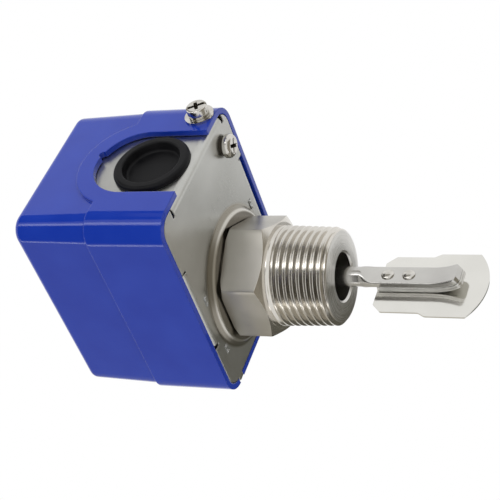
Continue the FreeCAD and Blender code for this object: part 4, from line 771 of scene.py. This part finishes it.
def make_screws():
    """The cover screw, slotted and crossed, and the earth screw, crossed."""
    low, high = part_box("cover_screw")
    seat = Vector((high.x - COVER_SCREW["head_height"] * MM, (low.y + high.y) / 2, (low.z + high.z) / 2))
    mesh = screw_mesh("slotted_cover_screw", True, **COVER_SCREW)
    place_mesh(mesh, seat, (1, 0, 0), COVER_SCREW_TURN)
    new_piece("slotted_cover_screw", mesh, HOUSING, "screw_nickel", ["cover_screw"], SCREW_SURFACES, 40)
    low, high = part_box("earth_screw")
    seat = Vector(((low.x + high.x) / 2, (low.y + high.y) / 2, low.z + EARTH_SCREW["head_height"] * MM))
    mesh = screw_mesh("crossed_earth_screw", False, **EARTH_SCREW)
    place_mesh(mesh, seat, (0, 0, -1), EARTH_SCREW_TURN)
    new_piece("crossed_earth_screw", mesh, HOUSING, "screw_nickel", ["earth_screw"], SCREW_SURFACES, 40)


def make_tab_stakes():
    """Two punched dots at each of the bracket's four tabs, where they are staked in the plate."""
    cap = cap_rings(STAKE_RADIUS, STAKE_HEIGHT, 6, 20)
    points, faces = [], []
    for x, y, step in itertools.product((-TAB_X, TAB_X), (-TAB_Y, TAB_Y), (-STAKE_STEP, STAKE_STEP)):
        rings = [[(px + x + step, py + y, STAKE_LEVEL - pz) for px, py, pz in ring] for ring in cap]
        add_skin(points, faces, rings)
    mesh = mesh_from("tab_stakes", points, faces)
    new_piece("tab_stakes", mesh, HOUSING, "bracket_zinc")


def make_spring_washer():
    """A split ring of rectangular section whose two ends stand apart and at different heights."""
    low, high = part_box("cover_spring_washer")
    middle = (low + high) / 2 / MM
    half_high = (high.x - low.x) / MM / 2
    steps = 72
    rings = []
    for i in range(steps + 1):
        share = i / steps
        angle = math.pi * 0.5 + WASHER_GAP + (2 * math.pi - 2 * WASHER_GAP) * share
        lift = (share - 0.5) * WASHER_LIFT
        ring = []
        for radius, height in WASHER_SECTION:
            x = middle.x + max(min(height * half_high / WASHER_HALF_HEIGHT + lift, half_high), -half_high)
            ring.append((x, middle.y + radius * math.cos(angle), middle.z + radius * math.sin(angle)))
        rings.append(ring)
    points, faces = skin(rings)
    mesh = mesh_from("split_spring_washer", points, faces)
    new_piece("split_spring_washer", mesh, HOUSING, "screw_nickel", ["cover_spring_washer"])


# Pieces that sit between two bodies, left on neither


def make_range_spring():
    """The range spring, in a long lower part and a short upper part."""
    low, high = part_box("setting_spring")
    middle_x, middle_y = (low.x + high.x) / 2, (low.y + high.y) / 2
    reach = (high.x - low.x) / 2 / MM - SPRING_WIRE
    bottom, top = low.z + SPRING_WIRE * MM, high.z - SPRING_WIRE * MM
    parts = (("lower_range_coils", 0.0, SPRING_SPLIT), ("upper_range_coils", SPRING_SPLIT, 1.0))
    for name, first, last in parts:
        rings = []
        steps = round(SPRING_TURNS * 40 * (last - first))
        for i in range(steps + 1):
            share = first + (last - first) * i / steps
            angle = 2 * math.pi * SPRING_TURNS * share
            outward = Vector((math.cos(angle), math.sin(angle), 0))
            centre = Vector((middle_x, middle_y, bottom + (top - bottom) * share)) / MM + outward * reach
            spin = [2 * math.pi * k / 16 for k in range(16)]
            ring = [outward * math.cos(a) + Vector((0, 0, math.sin(a))) for a in spin]
            rings.append([tuple(centre + side * SPRING_WIRE) for side in ring])
        points, faces = skin(rings)
        coils = new_piece(name, mesh_from(name, points, faces), None, "rod_steel", ["setting_spring"])
        if first == 0.0:
            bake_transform(coils)
        else:
            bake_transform(coils)


def make_bellows():
    """Thin folded tube between its collar, which stands still, and its cap on the rod."""
    low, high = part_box("bellows")
    steps = BELLOWS_FOLDS * 16
    crest = high.x / MM
    outside, inside = [], []
    for i in range(steps + 1):
        level = (low.z + (high.z - low.z) * i / steps) / MM
        wave = 0.5 - 0.5 * math.cos(2 * math.pi * i / 16)
        radius = BELLOWS_ROOT + (crest - BELLOWS_ROOT) * wave
        outside.append(turned_ring(radius, level, 96))
        inside.append(turned_ring(radius - BELLOWS_WALL, level, 96))
    points, faces = skin(outside + inside[::-1], "closed")
    mesh = mesh_from("formed_bellows", points, faces)
    bellows = new_piece("formed_bellows", mesh, None, "brass", ["bellows"])
    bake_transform(bellows)


# Materials on the CAD nodes that stay


def dress_nodes():
    """Gives every node of the frame the material of its slot, or dark steel for painted shade."""
    slots = {row["node"]: row["material_slot"] for row in frame["record"]["subparts"]}
    for name, node in frame["nodes"].items():
        node.data.materials.clear()
        node.data.materials.append(MATERIALS[PAINTED_SHADE_NODES.get(name, slots[name])])


# Studio


def around(azimuth, rise):
    """A place a metre from the part: 0 faces the camera, 90 is the picture's top, a rise is towards +Z."""
    front = Vector((CAMERA_BACK.x, CAMERA_BACK.y, 0)).normalized()
    top = Vector((-front.y, front.x, 0))
    azimuth, rise = math.radians(azimuth), math.radians(rise)
    level = front * math.cos(azimuth) + top * math.sin(azimuth)
    return OBJECT_MIDDLE + (level * math.cos(rise) + Vector((0, 0, math.sin(rise))))


def aimed_at_object(place):
    """A frame at the place whose Z looks away from the object and whose Y stays upright."""
    back = (place - OBJECT_MIDDLE).normalized()
    side = Vector((0, 0, 1)).cross(back).normalized()
    turn = Matrix((side, back.cross(side), back)).transposed().to_4x4()
    return Matrix.Translation(place) @ turn


def add_light(name, place, width, height, radiance, mirrored):
    """A rectangular lamp of a radiance in units of the white world, which mirror finishes may show."""
    light = bpy.data.lights.new(name, "AREA")
    light.shape = "RECTANGLE"
    light.size, light.size_y = width, height
    light.energy = radiance * math.pi * width * height
    lamp = bpy.data.objects.new(name, light)
    bpy.context.scene.collection.objects.link(lamp)
    lamp.matrix_world = aimed_at_object(place)
    lamp.visible_glossy = mirrored


def add_card(name, place, width, height, colour):
    """A card that only reflections see."""
    mesh = bpy.data.meshes.new(name)
    corners = [(-width / 2, -height / 2, 0), (width / 2, -height / 2, 0)]
    corners += [(width / 2, height / 2, 0), (-width / 2, height / 2, 0)]
    mesh.from_pydata(corners, [], [(0, 1, 2, 3)])
    card = bpy.data.objects.new(name, mesh)
    bpy.context.scene.collection.objects.link(card)
    card.matrix_world = aimed_at_object(place)
    material, _, _ = new_material(name, colour, 0.0, 1.0)
    mesh.materials.append(material)
    card.visible_camera = False
    card.visible_diffuse = False
    card.visible_shadow = False


def add_world():
    """White to the camera and to reflections, and a soft grey light on everything else."""
    world = bpy.data.worlds.new("studio")
    bpy.context.scene.world = world
    world.use_nodes = True
    tree = world.node_tree
    tree.nodes.clear()
    path = add_node(tree, "ShaderNodeLightPath")
    seen = path.outputs["Is Camera Ray"]
    for ray in ("Is Glossy Ray", "Is Transmission Ray"):
        either = add_node(tree, "ShaderNodeMath", {"operation": "MAXIMUM"}, _0=seen, _1=path.outputs[ray])
        seen = either.outputs[0]
    strength = spread(tree, seen, 0.0, 1.0, WORLD_ON_MATT, 1.0)
    background = add_node(tree, "ShaderNodeBackground", Color=(1.0, 1.0, 1.0, 1.0), Strength=strength)
    output = add_node(tree, "ShaderNodeOutputWorld")
    tree.links.new(background.outputs[0], output.inputs[0])


def add_camera():
    """The photograph's camera."""
    data = bpy.data.cameras.new("camera")
    data.lens = CAMERA_LENS
    data.sensor_width = CAMERA_SENSOR
    data.clip_start = 0.01
    camera = bpy.data.objects.new("camera", data)
    bpy.context.scene.collection.objects.link(camera)
    turn = Matrix((CAMERA_RIGHT, CAMERA_UP, CAMERA_BACK)).transposed().to_4x4()
    camera.matrix_world = Matrix.Translation(CAMERA_PLACE) @ turn
    bpy.context.scene.camera = camera


def build_studio():
    """World, camera, lamps and cards."""
    bpy.context.scene.view_settings.view_transform = "Standard"
    add_world()
    add_camera()
    for name, (azimuth, rise, *lamp) in LAMPS.items():
        add_light(name, around(azimuth, rise), *lamp)
    for name, (azimuth, rise, *card) in CARDS.items():
        add_card(name, around(azimuth, rise), *card)


dress_nodes()
make_fitting()
make_rod()
make_strip("first_leaf_strip", "inner_backing_strip", 0)
make_strip("second_leaf_strip", "outer_backing_strip", 1)
make_rivets()
make_spring_washer()
make_screws()
make_tab_stakes()
make_range_spring()
make_bellows()
build_studio()
